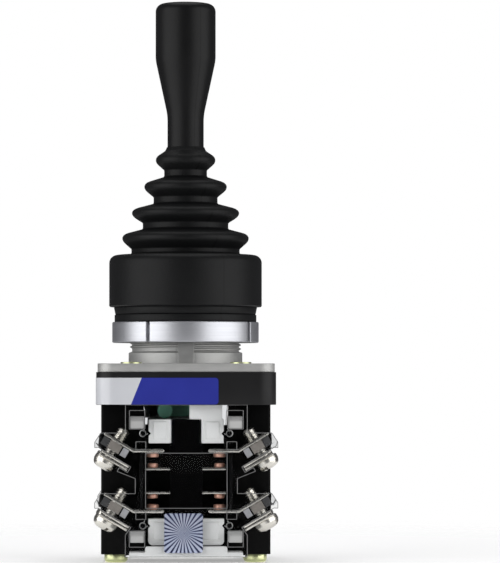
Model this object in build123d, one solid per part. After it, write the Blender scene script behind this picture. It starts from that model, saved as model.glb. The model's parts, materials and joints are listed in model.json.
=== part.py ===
from build123d import *
from math import atan, cos, degrees, radians, sin, sqrt
import os

# Industrial joystick for a 30 mm panel hole, lengths in millimetres.
# The origin is the centre of the flange's top face, against which the panel lies.
# +Z runs up the lever, and the front of the switch faces -Y.

# Clearances
slip = 0.05                     # between parts that slide or turn on each other
loose = 0.3                     # between parts that pass without guiding

# Flange and threaded bush
flange_width = 45.0
flange_thickness = 2.2
flange_corner = 4.0
shoulder_radius = 14.75
shoulder_height = 2.8
thread_crest = 14.4
thread_root = 13.85
thread_runout = 0.3
bush_height = 19.0
bush_bore = 12.0
bush_mouth = 12.6
mouth_depth = 5.0
key_width = 4.1
key_depth = 1.45
ledge_bore = 11.2
ledge_height = 5.5
ledge_thickness = 1.5
gate_thickness = 1.5
gate_half_opening = 7.2
gate_corner = 2.0

# Ring nut and washers
nut_height_above_flange = 5.4
nut_radius = 19.0
nut_thickness = 5.4
nut_slot_width = 1.0
nut_slot_depth = 1.5
nut_slot_count = 4
nut_slot_angle = 239.0
nut_chamfer = 0.2
washer_radius = 18.4
lower_washer_thickness = 1.9
upper_washer_thickness = 2.0
upper_washer_taper = 0.2

# Rubber boot and the threaded ring that it grips
skirt_radius = 19.8
skirt_height = 13.3
skirt_corner = 2.0
skirt_wall = 1.8
boot_wall = 0.8
collar_height = 4.3
# Each groove by its radius, foot and top, and each rim by the sharp corner before it is rounded
fold_grooves = [(14.05, 28.4, 29.7), (11.1, 34.9, 36.5), (8.3, 41.5, 43.2), (5.55, 48.5, 50.2)]
fold_rims = [(17.9, 33.1), (15.9, 39.5), (12.2, 46.4), (8.7, 53.0)]
boot_top = 56.2
lip_thickness = 0.55
lip_rounding = 0.3
lip_outside = 0.95              # from the boot's top down to the last fold, outside
lip_inside = 1.6                # and inside
fold_rounding = 1.6
groove_rounding = 0.5
inner_rounding = 0.4

# Handle
handle_foot = 47.0
neck_radius = 4.7
neck_top = 64.5
grip_radius = 7.8
grip_foot = 78.9
grip_rounding = 2.0
handle_top = 94.0
dome_radius = 30.0
stud_radius = 2.5
stud_length = 25.0

# Lever, its pivot and the two yokes
pivot_depth = 4.0               # below the flange's top face
tilt_limit = 15.0
shaft_radius = 3.0
lever_tail = 6.4                # from the pivot down to the centre of the ball
ball_radius = 1.8
tail_radius = 1.4
pin_radius = 1.25
trunnion_reach = 15.6
trunnion_radius = 1.25
gimbal_inner_x = 4.5
gimbal_wall = 1.9
gimbal_height = 4.6
rocker_cheek_gap = 6.9
rocker_cheek_thickness = 1.9
rocker_half_width = 3.0
rocker_bar_thickness = 2.4
crank_reach = 5.3
crank_drop = 8.15
crank_radius = 0.8
trunnion_edge = 0.9             # of material round a trunnion
crank_edge = 0.7                # of material round a crank pin
idle_roller_radius = 1.9
crank_arm_inner = 7.3
crank_arm_thickness = 1.7
finger_thickness = 1.0
finger_edge = 0.9               # round the slot in the rear finger

# Return spring
spring_wire = 1.0
spring_pitch = 3.0
spring_top = 37.0
spring_top_radius = 4.6
spring_plate_radius = 5.9
spring_plate_thickness = 1.2
clip_thickness = 0.7
clip_radius = 4.4

# Base housing
base_width = 45.7
base_height = 8.3
base_corner = 4.6
base_wall = 2.4
saddle_inner = 12.0
saddle_half_width = 3.0
saddle_floor = 1.8
flange_screw_spacing = 28.0
flange_screw_radius = 1.5
flange_screw_head = 2.7
flange_screw_seat = 1.3         # depth of the counterbore
flange_screw_proud = 0.35
flange_screw_length = 7.0
boss_radius = 3.2
boss_web = 2.4
fixing_pad_inner = 2.6          # from the fixing screw's axis
fixing_pad_depth = 5.6

# Contact block
block_side_inset = 1.15         # from the side of the base
block_front_inset = 0.85        # from the front of the base
block_height = 38.3
body_depth = 11.0
block_width = base_width - 2 * block_side_inset
block_depth = base_width / 2 - block_front_inset
block_edge = 0.6
well_half_width = 12.6
well_depth = 5.6
fixing_inset = 3.8              # from the side of the block
fixing_y = 5.5
fixing_radius = 1.5
fixing_head_radius = 3.0
fixing_head_height = 2.2
fixing_grip = 6.0
cover_wall = 1.0
cover_half_width = 15.4
cover_waist = 12.9
cover_overhang = 0.1            # below the block's bottom face
wing_overhang = 0.3             # beyond the side of the base
wing_tip = base_width / 2 + wing_overhang
panel_half_width = 10.3         # the recess in the cover's front
panel_recess = 0.3
panel_heights = (12.2, 26.1)    # below the block's top
mark_half_size = (1.25, 1.0)    # small square recesses beside the latches
mark_x = 11.5
mark_depth = 0.4
mark_heights = (10.3, 27.9)
recess_depth = 0.3              # a groove in each side of the body
recess_half_width = 0.6
recess_reach = (3.0, 12.0)      # below and above the chamber's middle
wing_top_drop = 7.1             # from the block's top to the top of the upper wing
wing_height = 11.5
wing_corner = (1.5, 2.3)        # the slant at the wing's outer top corner
wing_edge = 1.4                 # the upright edge at the wing's tip
fin_drop = 1.65                 # from the clamp plates down to the fin
wing_foot_points = 5            # of a wing's outline, before its fin
fin_thickness = 1.1
fin_head_gap = 0.5              # from the terminal screw's head
wing_side_gap = 0.4             # beside the clamp plates
wing_foot_reach = 3.4           # of the lower edge, outwards from the screw

# Contacts, measured from the middle of the contact chamber
chamber_depth = 19.3            # from the block's top to the chamber's middle
contact_gap = 1.5
strip_thickness = 0.8
strip_width = 8.6
strip_inner = 6.0
terminal_reach = 9.85           # from the strip's bend out to the wing's tip
strip_bend = wing_tip - terminal_reach
strip_slope = 31.0
strip_height = 7.65
strip_slope_length = 8.3
terminal_hole = 4.66            # from the bend to the terminal screw, along the slope
contact_offset = 0.4            # of the contacts, forward of the middle of their room
contact_depth = (block_depth - cover_wall + body_depth) / 2 + contact_offset
rivet_x = 8.6
rivet_height = 1.2
fixed_rivet_radius = 1.6
bridge_rivet_radius = 1.4
bridge_half_length = 10.6
bridge_width = 4.4
bridge_thickness = 0.6
contact_spring_wire = 0.3
contact_spring_radius = 1.2

# Terminal screws and clamp plates
terminal_screw_radius = 1.75
terminal_screw_tip = 3.5
terminal_head_radius = 3.2
terminal_head_height = 2.8
terminal_head_rim = 1.3
terminal_head_crown = 2.3       # radius of the head's flat top
terminal_head_slope = 0.35
terminal_slot_width = 0.8
terminal_slot_depth = 1.0
plate_inner = 5.7
plate_outer = 2.2
plate_width = 8.0
plate_thickness = 0.6
plate_gap = 0.25
wire_gap = 3.75
pocket_inner = 9.0              # the strip's room in the wing, along the strip
pocket_outer = 4.3
pocket_height = 6.0
pocket_floor = 1.0

# Sliders and their carrier
carrier_cover_gap = 1.4         # from the carrier to the inside of the cover
carrier_proud = 0.3             # of the sliders' front faces
slider_body_gap = 1.5           # from the sliders to the block body
carrier_body_gap = 1.8
link_thickness = 1.65
carrier_front = block_depth - cover_wall - carrier_cover_gap
carrier_back = body_depth + carrier_body_gap
slider_front = carrier_front - carrier_proud
slider_back = body_depth + slider_body_gap
carrier_neck_back = slider_back + link_thickness + slip
pad_height = 0.4
head_left = 0.8
head_right = 9.1
head_top = 0.5                  # above the block's top
head_foot = 3.7                 # below the block's top
leg_inner = 3.8
leg_outer = 9.5
leg_foot = 9.75
carrier_half_width = 3.5
carrier_chamber_half_width = 4.1
carrier_web = 0.6               # half the web between its two windows
lower_slider_top = 28.85
lower_slider_foot = 35.6
lower_slider_half_width = 9.6
notch_depth = 0.6
notch_heights = (7.3, 30.7)

# Latches, bottom guide, posts and hairpin springs
latch_inner = 10.7
latch_outer = 14.2
latch_heights = ((2.9, 6.0), (31.95, 34.8))
window_heights = ((1.4, 6.1), (31.85, 35.9))
guide_lip_top = 35.8
guide_floor_top = 37.3
guide_foot = 38.5
guide_lip_thickness = 1.2
post_radius = 0.45
post_x = 11.0
hairpin_radius = 0.95
hairpin_wire = 0.3
hairpin_depth = 1.2
rib_inner = 10.9
rib_outer = 11.7
rail_width = 0.75

# Heights and places that follow from the sizes above
base_top = -flange_thickness
block_top = base_top - base_height
block_foot = block_top - block_height
fixing_x = block_width / 2 - fixing_inset
chamber_middle = block_top - chamber_depth
nut_foot = nut_height_above_flange
washer_foot = nut_foot + nut_thickness
upper_washer_foot = washer_foot + lower_washer_thickness
skirt_foot = upper_washer_foot + upper_washer_thickness
skirt_top = skirt_foot + skirt_height
slot_sweep = crank_drop * sin(radians(tilt_limit)) + crank_radius + 3 * slip
slot_rise = crank_drop * (1 - cos(radians(tilt_limit)))
crank_height = -pivot_depth - crank_drop
ball_height = -pivot_depth - lever_tail
bar_top = ball_height + rocker_bar_thickness / 2 - 0.1
gimbal_inner_y = shaft_radius + loose
trunnion_gap = trunnion_radius + slip


def block(x, y, z):
    """A box given by its low and high values on each axis."""
    size = [high - low for low, high in (x, y, z)]
    middle = [(high + low) / 2 for low, high in (x, y, z)]
    return Pos(*middle) * Box(*size)


def rod(radius, foot, top, x=0.0, y=0.0):
    """An upright cylinder between two heights."""
    return Pos(x, y, (foot + top) / 2) * Cylinder(radius, top - foot)


def rod_along_x(radius, start, end, y=0.0, z=0.0):
    """A cylinder that lies along X."""
    return Pos((start + end) / 2, y, z) * Rot(0, 90, 0) * Cylinder(radius, end - start)


def rod_along_y(radius, start, end, x=0.0, z=0.0):
    """A cylinder that lies along Y."""
    return Pos(x, (start + end) / 2, z) * Rot(90, 0, 0) * Cylinder(radius, end - start)


def tube(outer, inner, foot, top):
    """A plain ring about the lever's axis."""
    return rod(outer, foot, top) - rod(inner, foot - 1, top + 1)


def turned(*outline):
    """A solid turned about Z from (radius, height) points."""
    face = make_face(Polyline(*outline, close=True))
    return revolve(Plane.XZ * face, Axis.Z)


def plate_between(sketch, front, back):
    """A front-view outline given thickness from y = back forward to y = front."""
    return extrude(Plane.XZ.offset(-back) * sketch, amount=back - front)


def square_plate(width, corner, foot, top):
    """A square plate with rounded corners about the lever's axis."""
    return extrude(Pos(0, 0, foot) * RectangleRounded(width, width, corner), amount=top - foot)


def hull_round(*faces):
    """The outline that a tight band round several flat shapes would take."""
    return make_hull([edge for face in faces for edge in face.edges()])


def corners(half_x, half_y):
    """The four points of a rectangle about the lever's axis."""
    return [(x, y) for x in (-half_x, half_x) for y in (-half_y, half_y)]


# Handle, lever and the parts that ride on it

def dome_height(radius):
    """The height of the handle's domed end at a radius."""
    return handle_top - dome_radius + sqrt(dome_radius ** 2 - radius ** 2)


def make_handle():
    edge = grip_radius - grip_rounding
    rim = edge + 0.707 * grip_rounding
    grip_shoulder = dome_height(edge) - grip_rounding
    rim_height = grip_shoulder + 0.707 * grip_rounding
    outline = Polyline((0, handle_foot), (neck_radius - 0.5, handle_foot), (neck_radius, handle_foot + 0.5),
                       (neck_radius, neck_top), (grip_radius, grip_foot), (grip_radius, grip_shoulder))
    outline += ThreePointArc((grip_radius, grip_shoulder), (rim, rim_height), (edge, dome_height(edge)))
    outline += ThreePointArc((edge, dome_height(edge)), (edge / 2, dome_height(edge / 2)), (0, handle_top))
    outline += Line((0, handle_top), (0, handle_foot))
    body = revolve(Plane.XZ * make_face(outline), Axis.Z)
    return body - rod(stud_radius + slip, handle_foot - 1, handle_foot + stud_length + loose)


def make_lever_shaft():
    pivot = -pivot_depth
    clip_seat = spring_top + spring_plate_thickness + slip
    shaft = turned((0, pivot - 4.0), (tail_radius, pivot - 4.0), (shaft_radius, pivot - 2.2),
                   (shaft_radius, handle_foot - slip), (stud_radius, handle_foot - slip),
                   (stud_radius, handle_foot + stud_length), (0, handle_foot + stud_length))
    tail = rod(tail_radius, ball_height, pivot - 3.9) + Pos(0, 0, ball_height) * Sphere(ball_radius)
    cross_hole = rod_along_y(pin_radius + slip / 2, -shaft_radius - 1, shaft_radius + 1, z=pivot)
    clip_groove = tube(shaft_radius + 1, shaft_radius - 0.5, clip_seat, clip_seat + clip_thickness + slip)
    return shaft + tail - cross_hole - clip_groove


def make_lever_pin():
    reach = gimbal_inner_y + gimbal_wall
    return rod_along_y(pin_radius, -reach, reach, z=-pivot_depth)


def make_spring_plate():
    return tube(spring_plate_radius, shaft_radius + slip, spring_top, spring_top + spring_plate_thickness)


def make_retaining_clip():
    seat = spring_top + spring_plate_thickness + slip
    ring = tube(clip_radius, shaft_radius - 0.5 + slip / 2, seat, seat + clip_thickness)
    return ring - block((0, clip_radius + 1), (-1.8, 1.8), (seat - 1, seat + clip_thickness + 1))


def make_return_spring():
    foot_radius = (bush_mouth + thread_root) / 2
    foot = bush_height + spring_wire / 2 + slip
    height = spring_top - slip - spring_wire / 2 - foot
    taper = degrees(atan((foot_radius - spring_top_radius) / height))
    coil = Helix(pitch=spring_pitch, height=height, radius=foot_radius, center=(0, 0, foot),
                 cone_angle=-taper)
    return sweep(Plane(origin=coil @ 0, z_dir=coil % 0) * Circle(spring_wire / 2), path=coil,
                 is_frenet=True)


# Rubber boot

def fold_points():
    """The grooves and rims of the folds, as (radius, height), from the skirt upwards."""
    points = []
    for (groove, foot, top), rim in zip(fold_grooves, fold_rims):
        points += [(groove, foot), (groove, top), rim]
    return points


def drawn_in(points, wall):
    """The points between the first and the last, moved inwards by the wall's thickness."""
    moved = []
    for before, point, after in zip(points, points[1:], points[2:]):
        arriving = (Vector(*point) - Vector(*before)).normalized()
        leaving = (Vector(*after) - Vector(*point)).normalized()
        share = wall / (1 + arriving.dot(leaving))
        moved.append((point[0] - (arriving.Y + leaving.Y) * share,
                      point[1] + (arriving.X + leaving.X) * share))
    return moved


def make_rubber_boot():
    lip = neck_radius + slip
    inner_skirt = skirt_radius - skirt_wall
    outside = [(skirt_radius, skirt_top)] + fold_points() + [(lip + lip_thickness, boot_top - lip_outside)]
    inside = [(inner_skirt, skirt_foot), (inner_skirt, skirt_top - skirt_wall)]
    inside += drawn_in(outside, boot_wall) + [(lip, boot_top - lip_inside), (lip, boot_top)]
    loop = [(skirt_radius, skirt_foot)] + outside + [(lip + lip_thickness, boot_top)] + inside[::-1]
    outer_radii = [0, skirt_corner] + [groove_rounding, groove_rounding, fold_rounding] * len(fold_rims)
    inner_radii = [0, inner_rounding] + [inner_rounding] * 3 * len(fold_rims)
    radii = outer_radii + [0, lip_rounding, 0, 0] + inner_radii[::-1]
    wall = make_face(FilletPolyline(*loop, radius=radii, close=True))
    return revolve(Plane.XZ * wall, Axis.Z)


def make_boot_collar():
    outer = skirt_radius - skirt_wall - slip
    ring = tube(outer, thread_crest + slip, skirt_foot, skirt_foot + collar_height)
    return chamfer(ring.edges().group_by(Axis.Z)[-1], 0.5)


# Panel fixing

def make_washer(foot, thickness, taper):
    radius = washer_radius
    bore = thread_crest + slip
    return turned((bore, foot), (radius - taper, foot), (radius + taper, foot + thickness),
                  (bore, foot + thickness))


def make_ring_nut():
    nut = tube(nut_radius, thread_crest + slip, nut_foot, nut_foot + nut_thickness)
    outer_edges = nut.edges().filter_by(GeomType.CIRCLE).filter_by(lambda e: e.radius > nut_radius - 0.1)
    nut = chamfer(outer_edges, nut_chamfer)
    for number in range(nut_slot_count):
        slot = block((nut_radius - nut_slot_depth, nut_radius + 1),
                     (-nut_slot_width / 2, nut_slot_width / 2),
                     (nut_foot - 1, nut_foot + nut_thickness + 1))
        nut -= Rot(0, 0, nut_slot_angle + number * 360 / nut_slot_count) * slot
    return nut


def make_mounting_bush():
    ledge_foot = ledge_height
    ledge_top = ledge_height + ledge_thickness
    flange = square_plate(flange_width, flange_corner, -flange_thickness, 0)
    barrel = turned((0, -flange_thickness), (shoulder_radius, -flange_thickness),
                    (shoulder_radius, shoulder_height), (thread_root, shoulder_height + thread_runout),
                    (thread_root, bush_height), (0, bush_height))
    bore = turned((0, -flange_thickness - 1), (bush_bore, -flange_thickness - 1), (bush_bore, ledge_foot),
                  (ledge_bore, ledge_foot), (ledge_bore, ledge_top), (bush_bore, ledge_top),
                  (bush_bore, bush_height - mouth_depth), (bush_mouth, bush_height),
                  (bush_mouth, bush_height + 1), (0, bush_height + 1))
    key = block((-key_width / 2, key_width / 2),
                (-shoulder_radius - 1, -shoulder_radius + key_depth), (0, bush_height + 1))
    body = flange + barrel - bore - key
    half = flange_screw_spacing / 2
    for x, y in corners(half, half):
        body -= rod(flange_screw_radius + slip, -flange_thickness - 1, 1, x, y)
        body -= rod(flange_screw_head + slip, -flange_screw_seat, 1, x, y)
    return body


def make_gate_plate():
    foot = ledge_height + ledge_thickness
    plate = rod(bush_bore - slip, foot, foot + gate_thickness)
    return plate - square_plate(2 * gate_half_opening, gate_corner, foot - 1, foot + gate_thickness + 1)


def make_flange_screws():
    half = flange_screw_spacing / 2
    head_foot = -flange_screw_seat + slip / 2
    screws = []
    for x, y in corners(half, half):
        shank = rod(flange_screw_radius, head_foot - flange_screw_length, head_foot + 0.5, x, y)
        screws.append(shank + rod(flange_screw_head, head_foot, flange_screw_proud, x, y))
    return Compound(children=screws)


# Base housing with the saddles of the two yokes

def saddle(angle):
    """One saddle, open at the top, on the wall that the angle faces."""
    reach = (base_width - base_wall) / 2
    foot = -pivot_depth - trunnion_radius - saddle_floor
    body = block((saddle_inner, reach), (-saddle_half_width, saddle_half_width), (foot, base_top))
    groove = block((saddle_inner - 1, trunnion_reach + loose), (-trunnion_gap, trunnion_gap),
                   (-pivot_depth, base_top + 1))
    groove += rod_along_x(trunnion_gap, saddle_inner - 1, trunnion_reach + loose, z=-pivot_depth)
    return Rot(0, 0, angle) * (body - groove)


def make_base_housing():
    hollow_width = base_width - 2 * base_wall
    housing = square_plate(base_width, base_corner, block_top, base_top)
    housing -= square_plate(hollow_width, base_corner - base_wall, block_top - 1, base_top + 1)
    for x, y in corners(fixing_x, fixing_y):
        side = 1 if x > 0 else -1
        pad_x = sorted((x - fixing_pad_inner * side, side * (hollow_width + base_wall) / 2))
        pad_y = (y - fixing_pad_depth / 2, y + fixing_pad_depth / 2)
        housing += block(pad_x, pad_y, (block_top, block_top + fixing_grip + 1))
    half = flange_screw_spacing / 2
    for x, y in corners(half, half):
        housing += rod(boss_radius, base_top - flange_screw_length, base_top, x, y)
        web_x = sorted((x, (hollow_width + base_wall) / 2 * (1 if x > 0 else -1)))
        web_y = (y - boss_web / 2, y + boss_web / 2)
        housing += block(web_x, web_y, (base_top - flange_screw_length, base_top))
    for angle in (0, 90, 180, 270):
        housing += saddle(angle)
    for x, y in corners(half, half):
        housing -= rod(flange_screw_radius + slip, base_top - flange_screw_length - 1, base_top + 1, x, y)
    for x, y in corners(fixing_x, fixing_y):
        housing -= rod(fixing_radius + slip, block_top - 1, block_top + fixing_grip, x, y)
    return housing


def make_fixing_screws():
    screws = []
    for x, y in corners(fixing_x, fixing_y):
        head_foot = block_foot - fixing_head_height
        shank = rod(fixing_radius, block_foot - 0.5, block_top + fixing_grip - loose, x, y)
        head = rod(fixing_head_radius, head_foot, block_foot, x, y)
        head = fillet(head.edges().group_by(Axis.Z)[0], 0.8)
        screws.append(shank + head)
    return Compound(children=screws)


# Yokes: the gimbal turns about X and the side rocker about Y

def make_gimbal():
    outer_x = gimbal_inner_x + gimbal_wall
    outer_y = gimbal_inner_y + gimbal_wall
    height = (-pivot_depth - gimbal_height / 2, -pivot_depth + gimbal_height / 2)
    ring = block((-outer_x, outer_x), (-outer_y, outer_y), height)
    ring = fillet(ring.edges().filter_by(Axis.Z), 1.0)
    ring -= block((-gimbal_inner_x, gimbal_inner_x), (-gimbal_inner_y, gimbal_inner_y),
                  (height[0] - 1, height[1] + 1))
    ring += rod_along_x(trunnion_radius, outer_x - 0.5, trunnion_reach, z=-pivot_depth)
    ring += rod_along_x(trunnion_radius, -trunnion_reach, -outer_x + 0.5, z=-pivot_depth)
    ring -= rod_along_y(pin_radius + slip, -outer_y - 1, outer_y + 1, z=-pivot_depth)
    arm_x = (-crank_arm_inner - crank_arm_thickness, -crank_arm_inner)
    arm_outline = hull_round(Circle(trunnion_radius + trunnion_edge),
                             Pos(crank_reach, -crank_drop) * Circle(crank_radius + crank_edge))
    arm_plane = Plane(origin=(arm_x[0], 0, -pivot_depth), x_dir=(0, 1, 0), z_dir=(1, 0, 0))
    arm = extrude(arm_plane * arm_outline, amount=crank_arm_thickness)
    pin_end = arm_x[0] - loose - finger_thickness
    crank = rod_along_x(crank_radius, pin_end, arm_x[0] + 0.5, y=crank_reach, z=crank_height)
    return ring + arm + crank


def make_side_rocker():
    cheek_end = rocker_cheek_gap + rocker_cheek_thickness
    bar_foot = bar_top - rocker_bar_thickness
    bar = block((-rocker_half_width, rocker_half_width), (-cheek_end, cheek_end), (bar_foot, bar_top))
    slot_half = lever_tail * sin(radians(tilt_limit)) + ball_radius + loose
    gap = ball_radius + 3 * slip
    slot = Pos(0, 0, bar_foot - 1) * Rot(0, 0, 90) * SlotOverall(2 * slot_half, 2 * gap)
    rocker = bar - extrude(slot, amount=rocker_bar_thickness + 2)
    bar_end = Pos(0, (bar_top + bar_foot) / 2) * Rectangle(2 * rocker_half_width, rocker_bar_thickness)
    cheek_outline = hull_round(Pos(0, -pivot_depth) * Circle(trunnion_radius + trunnion_edge), bar_end)
    arm_end = Circle(crank_radius + crank_edge)
    arm_outline = hull_round(*[Pos(x, crank_height) * arm_end for x in (-crank_reach, crank_reach)])
    for front in (-cheek_end, rocker_cheek_gap):
        rocker += plate_between(cheek_outline, front, front + rocker_cheek_thickness)
    rocker += plate_between(arm_outline, -cheek_end, -rocker_cheek_gap)
    rocker += rod_along_y(trunnion_radius, -trunnion_reach, -rocker_cheek_gap - 0.5, z=-pivot_depth)
    rocker += rod_along_y(trunnion_radius, rocker_cheek_gap + 0.5, trunnion_reach, z=-pivot_depth)
    crank_end = (slider_front + slider_back) / 2
    rocker += rod_along_y(crank_radius, -crank_end, -cheek_end + 0.5, x=crank_reach, z=crank_height)
    rocker += rod_along_y(idle_roller_radius, -slider_back + 2 * loose, -cheek_end + 0.5,
                          x=-crank_reach, z=crank_height)
    return rocker


# Contact block, modelled at the front; the rear one is turned half a turn about Z

def terminal_plane(shift):
    """The frame of an upper left terminal: X out along the strip, Z up the screw."""
    slope = radians(strip_slope)
    height = chamber_middle + strip_height + shift
    hole = (-strip_bend - terminal_hole * cos(slope), -contact_depth, height + terminal_hole * sin(slope))
    return Plane(origin=hole, x_dir=(-cos(slope), 0, sin(slope)), z_dir=(sin(slope), 0, cos(slope)))


def terminal_shifts():
    """The upper terminals and the lower ones, by how far each lies below the upper."""
    return {"upper": 0.0, "lower": -2 * strip_height}


def both_sides(left):
    return [left, mirror(left, Plane.YZ)]


def wing_points(shift):
    """Outline of one clear wing round a terminal, from its top inwards to the waist."""
    local = terminal_plane(shift)
    top = block_top - wing_top_drop + shift
    bottom_edge = -wire_gap - slip
    fin_top = bottom_edge - fin_drop
    inner = -plate_inner - wing_side_gap
    fin_end = -terminal_head_radius - fin_head_gap
    slanted = [(wing_foot_reach, bottom_edge), (inner, bottom_edge), (inner, fin_top),
               (fin_end, fin_top), (fin_end, fin_top - fin_thickness)]
    corner_x, corner_z = wing_corner
    points = [(-wing_tip + corner_x, top), (-wing_tip, top - corner_z),
              (-wing_tip, top - corner_z - wing_edge)]
    for x, z in slanted:
        place = local.from_local_coords((x, 0, z))
        points.append((place.X, place.Z))
    return points


def cover_outline(fins):
    """The front view of the clear cover: narrow at the top and bottom, with two wings a side.
    The upper wings end in fins below their screws, which the room inside doesn't enter."""
    drop = 2 * strip_height
    wing_top = block_top - wing_top_drop
    waist_top = wing_top - wing_height
    fin_line = wing_points(-drop)[-1]
    fin_slope = (fin_line[1] - (waist_top - drop)) / (fin_line[0] + cover_waist)
    fin_end = fin_line[1] + fin_slope * (-cover_half_width - fin_line[0])
    left = [(-cover_half_width, block_top), (-cover_half_width, wing_top)]
    left += wing_points(0) if fins else wing_points(0)[:wing_foot_points]
    left += [(-cover_waist, waist_top), (-cover_waist, wing_top - drop)]
    left += wing_points(-drop)[:wing_foot_points]
    left += [(-cover_half_width, fin_end), (-cover_half_width, block_foot - cover_overhang)]
    right = [(-x, z) for x, z in reversed(left)]
    return make_face(Polyline(*left, *right, close=True))


def terminal_pocket(shift):
    """Room for a strip, its screw and the screw's tip in the wing, open at the top."""
    local = terminal_plane(shift)
    half = strip_width / 2 + loose
    pocket = block((-pocket_inner, pocket_outer), (-half, half), (-pocket_floor, pocket_height))
    pocket += rod(terminal_screw_radius + loose, -pocket_height, pocket_height)
    return local.location * pocket


def make_clear_cover():
    back = -body_depth
    cover = plate_between(cover_outline(fins=True), -block_depth, back)
    hollow = offset(cover_outline(fins=False), amount=-cover_wall, kind=Kind.INTERSECTION)
    cover -= plate_between(hollow, -block_depth + cover_wall, back)
    top_opening = block((-cover_half_width + cover_wall, cover_half_width - cover_wall),
                        (-block_depth + cover_wall, back + 1), (block_top - 2, block_top + 1))
    foot_opening = block((-cover_half_width + cover_wall, cover_half_width - cover_wall),
                         (-block_depth + cover_wall, back + 1),
                         (block_foot - cover_overhang - 1, block_foot + 1))
    cover -= top_opening + foot_opening
    for shift in terminal_shifts().values():
        for pocket in both_sides(terminal_pocket(shift)):
            cover -= pocket
    for high, low in latch_heights:
        room = block((-latch_outer - slip, -latch_inner + slip), (-block_depth + cover_wall, back + 1),
                     (block_top - low - slip, block_top - high + slip))
        for opening in both_sides(room):
            cover -= opening
    for high, low in window_heights:
        window = block((-latch_outer - 0.2, -latch_inner + 0.2), (-block_depth - 1, -block_depth + 1.5),
                       (block_top - low, block_top - high))
        for opening in both_sides(window):
            cover -= opening
    return cover - cover_recesses()


def cover_recesses():
    """The shallow panel in the middle of the cover's front and the small squares beside it."""
    front = -block_depth - 1
    high, low = panel_heights
    recesses = block((-panel_half_width, panel_half_width), (front, -block_depth + panel_recess),
                     (block_top - low, block_top - high))
    half_x, half_z = mark_half_size
    for height in mark_heights:
        z = block_top - height
        mark = block((-mark_x - half_x, -mark_x + half_x), (front, -block_depth + mark_depth),
                     (z - half_z, z + half_z))
        for square in both_sides(mark):
            recesses += square
    return recesses


def make_block_body():
    half = block_width / 2
    body = block((-half, half), (-body_depth, 0), (block_foot, block_top))
    body = fillet(body.edges().filter_by(Axis.Z), block_edge)
    body -= block((-well_half_width, well_half_width), (-body_depth - 1, 1),
                  (block_top - well_depth, block_top + 1))
    for side in (-1, 1):
        body -= rod(fixing_radius + loose, block_foot - 1, block_top + 1, side * fixing_x, -fixing_y)
        recess = block((-recess_depth, recess_depth), (-recess_half_width, recess_half_width),
                       (chamber_middle - recess_reach[0], chamber_middle + recess_reach[1]))
        body -= Pos(side * half, -fixing_y, 0) * recess
    rib_top = chamber_middle + strip_height - strip_thickness / 2 - slip
    rib_foot = chamber_middle - strip_height + strip_thickness / 2 + slip
    rib = block((-rib_outer, -rib_inner), (-strip_width / 2 - contact_depth, -body_depth + 0.1),
                (rib_foot, rib_top))
    guides = both_sides(rib)
    hairpin_clear = hairpin_radius + loose
    for sign, notch in zip((1, -1), notch_heights):
        edge = leg_outer if sign > 0 else lower_slider_half_width
        rail_z = sorted((chamber_middle + sign * (strip_height + strip_thickness / 2 + 3 * slip),
                         block_top - notch - sign * hairpin_clear))
        rail_x = (-edge - 3 * slip - rail_width, -edge - 3 * slip)
        guides += both_sides(block(rail_x, (-slider_front, -body_depth + 0.1), rail_z))
    for guide in guides:
        body += guide
    for height in notch_heights:
        post = rod_along_y(post_radius, -slider_front + 0.8, -body_depth + 0.2, x=-post_x,
                           z=block_top - height)
        for pin in both_sides(post):
            body += pin
    return body


def make_cover_latches():
    latches = []
    for high, low in latch_heights:
        profile = make_face(Polyline((-block_depth + 0.15, block_top - high - 1.2),
                                     (-block_depth + 1.3, block_top - high),
                                     (-body_depth - slip, block_top - high),
                                     (-body_depth - slip, block_top - low),
                                     (-block_depth + 0.15, block_top - low), close=True))
        side = Plane(origin=(-latch_outer, 0, 0), x_dir=(0, 1, 0), z_dir=(1, 0, 0))
        latches += both_sides(extrude(side * profile, amount=latch_outer - latch_inner))
    return Compound(children=latches)


def make_bottom_guide():
    half = cover_half_width - cover_wall - slip
    front = -block_depth + cover_wall + slip
    floor = block((-half, half), (front, -body_depth - slip),
                  (block_top - guide_foot, block_top - guide_floor_top))
    lip = block((-latch_inner + 0.3, latch_inner - 0.3), (front, front + guide_lip_thickness),
                (block_top - guide_foot, block_top - guide_lip_top))
    lip = fillet(lip.edges().filter_by(Axis.Y).group_by(Axis.Z)[-1], 0.6)
    return floor + lip


def terminal_strip(shift):
    """A fixed contact strip: flat in the chamber, then sloping up and out to its screw."""
    height = chamber_middle + strip_height + shift
    slope = radians(strip_slope)
    end = (-strip_bend - strip_slope_length * cos(slope), height + strip_slope_length * sin(slope))
    path = Polyline((-strip_inner, height), (-strip_bend, height), end)
    side_view = make_face(offset(path, amount=strip_thickness / 2, kind=Kind.INTERSECTION, side=Side.BOTH))
    strip = plate_between(side_view, -contact_depth - strip_width / 2, -contact_depth + strip_width / 2)
    hole = terminal_plane(shift).location * rod(terminal_screw_radius + slip, -2, 2)
    return strip - hole


def make_fixed_rivets():
    rivets = []
    for facing in (1, -1):
        strip_face = strip_height - strip_thickness / 2
        ends = sorted((chamber_middle + facing * strip_face,
                       chamber_middle + facing * (strip_face - rivet_height)))
        for x in (-rivet_x, rivet_x):
            rivet = rod(fixed_rivet_radius, ends[0], ends[1], x, -contact_depth)
            rivets.append(rivet)
    return Compound(children=rivets)


def bridge_heights(facing):
    """Low and high faces of a moving bridge, above or below the chamber's middle."""
    strip_face = strip_height - strip_thickness / 2
    near = strip_face - 2 * rivet_height - contact_gap
    return sorted((chamber_middle + facing * near, chamber_middle + facing * (near - bridge_thickness)))


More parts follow.
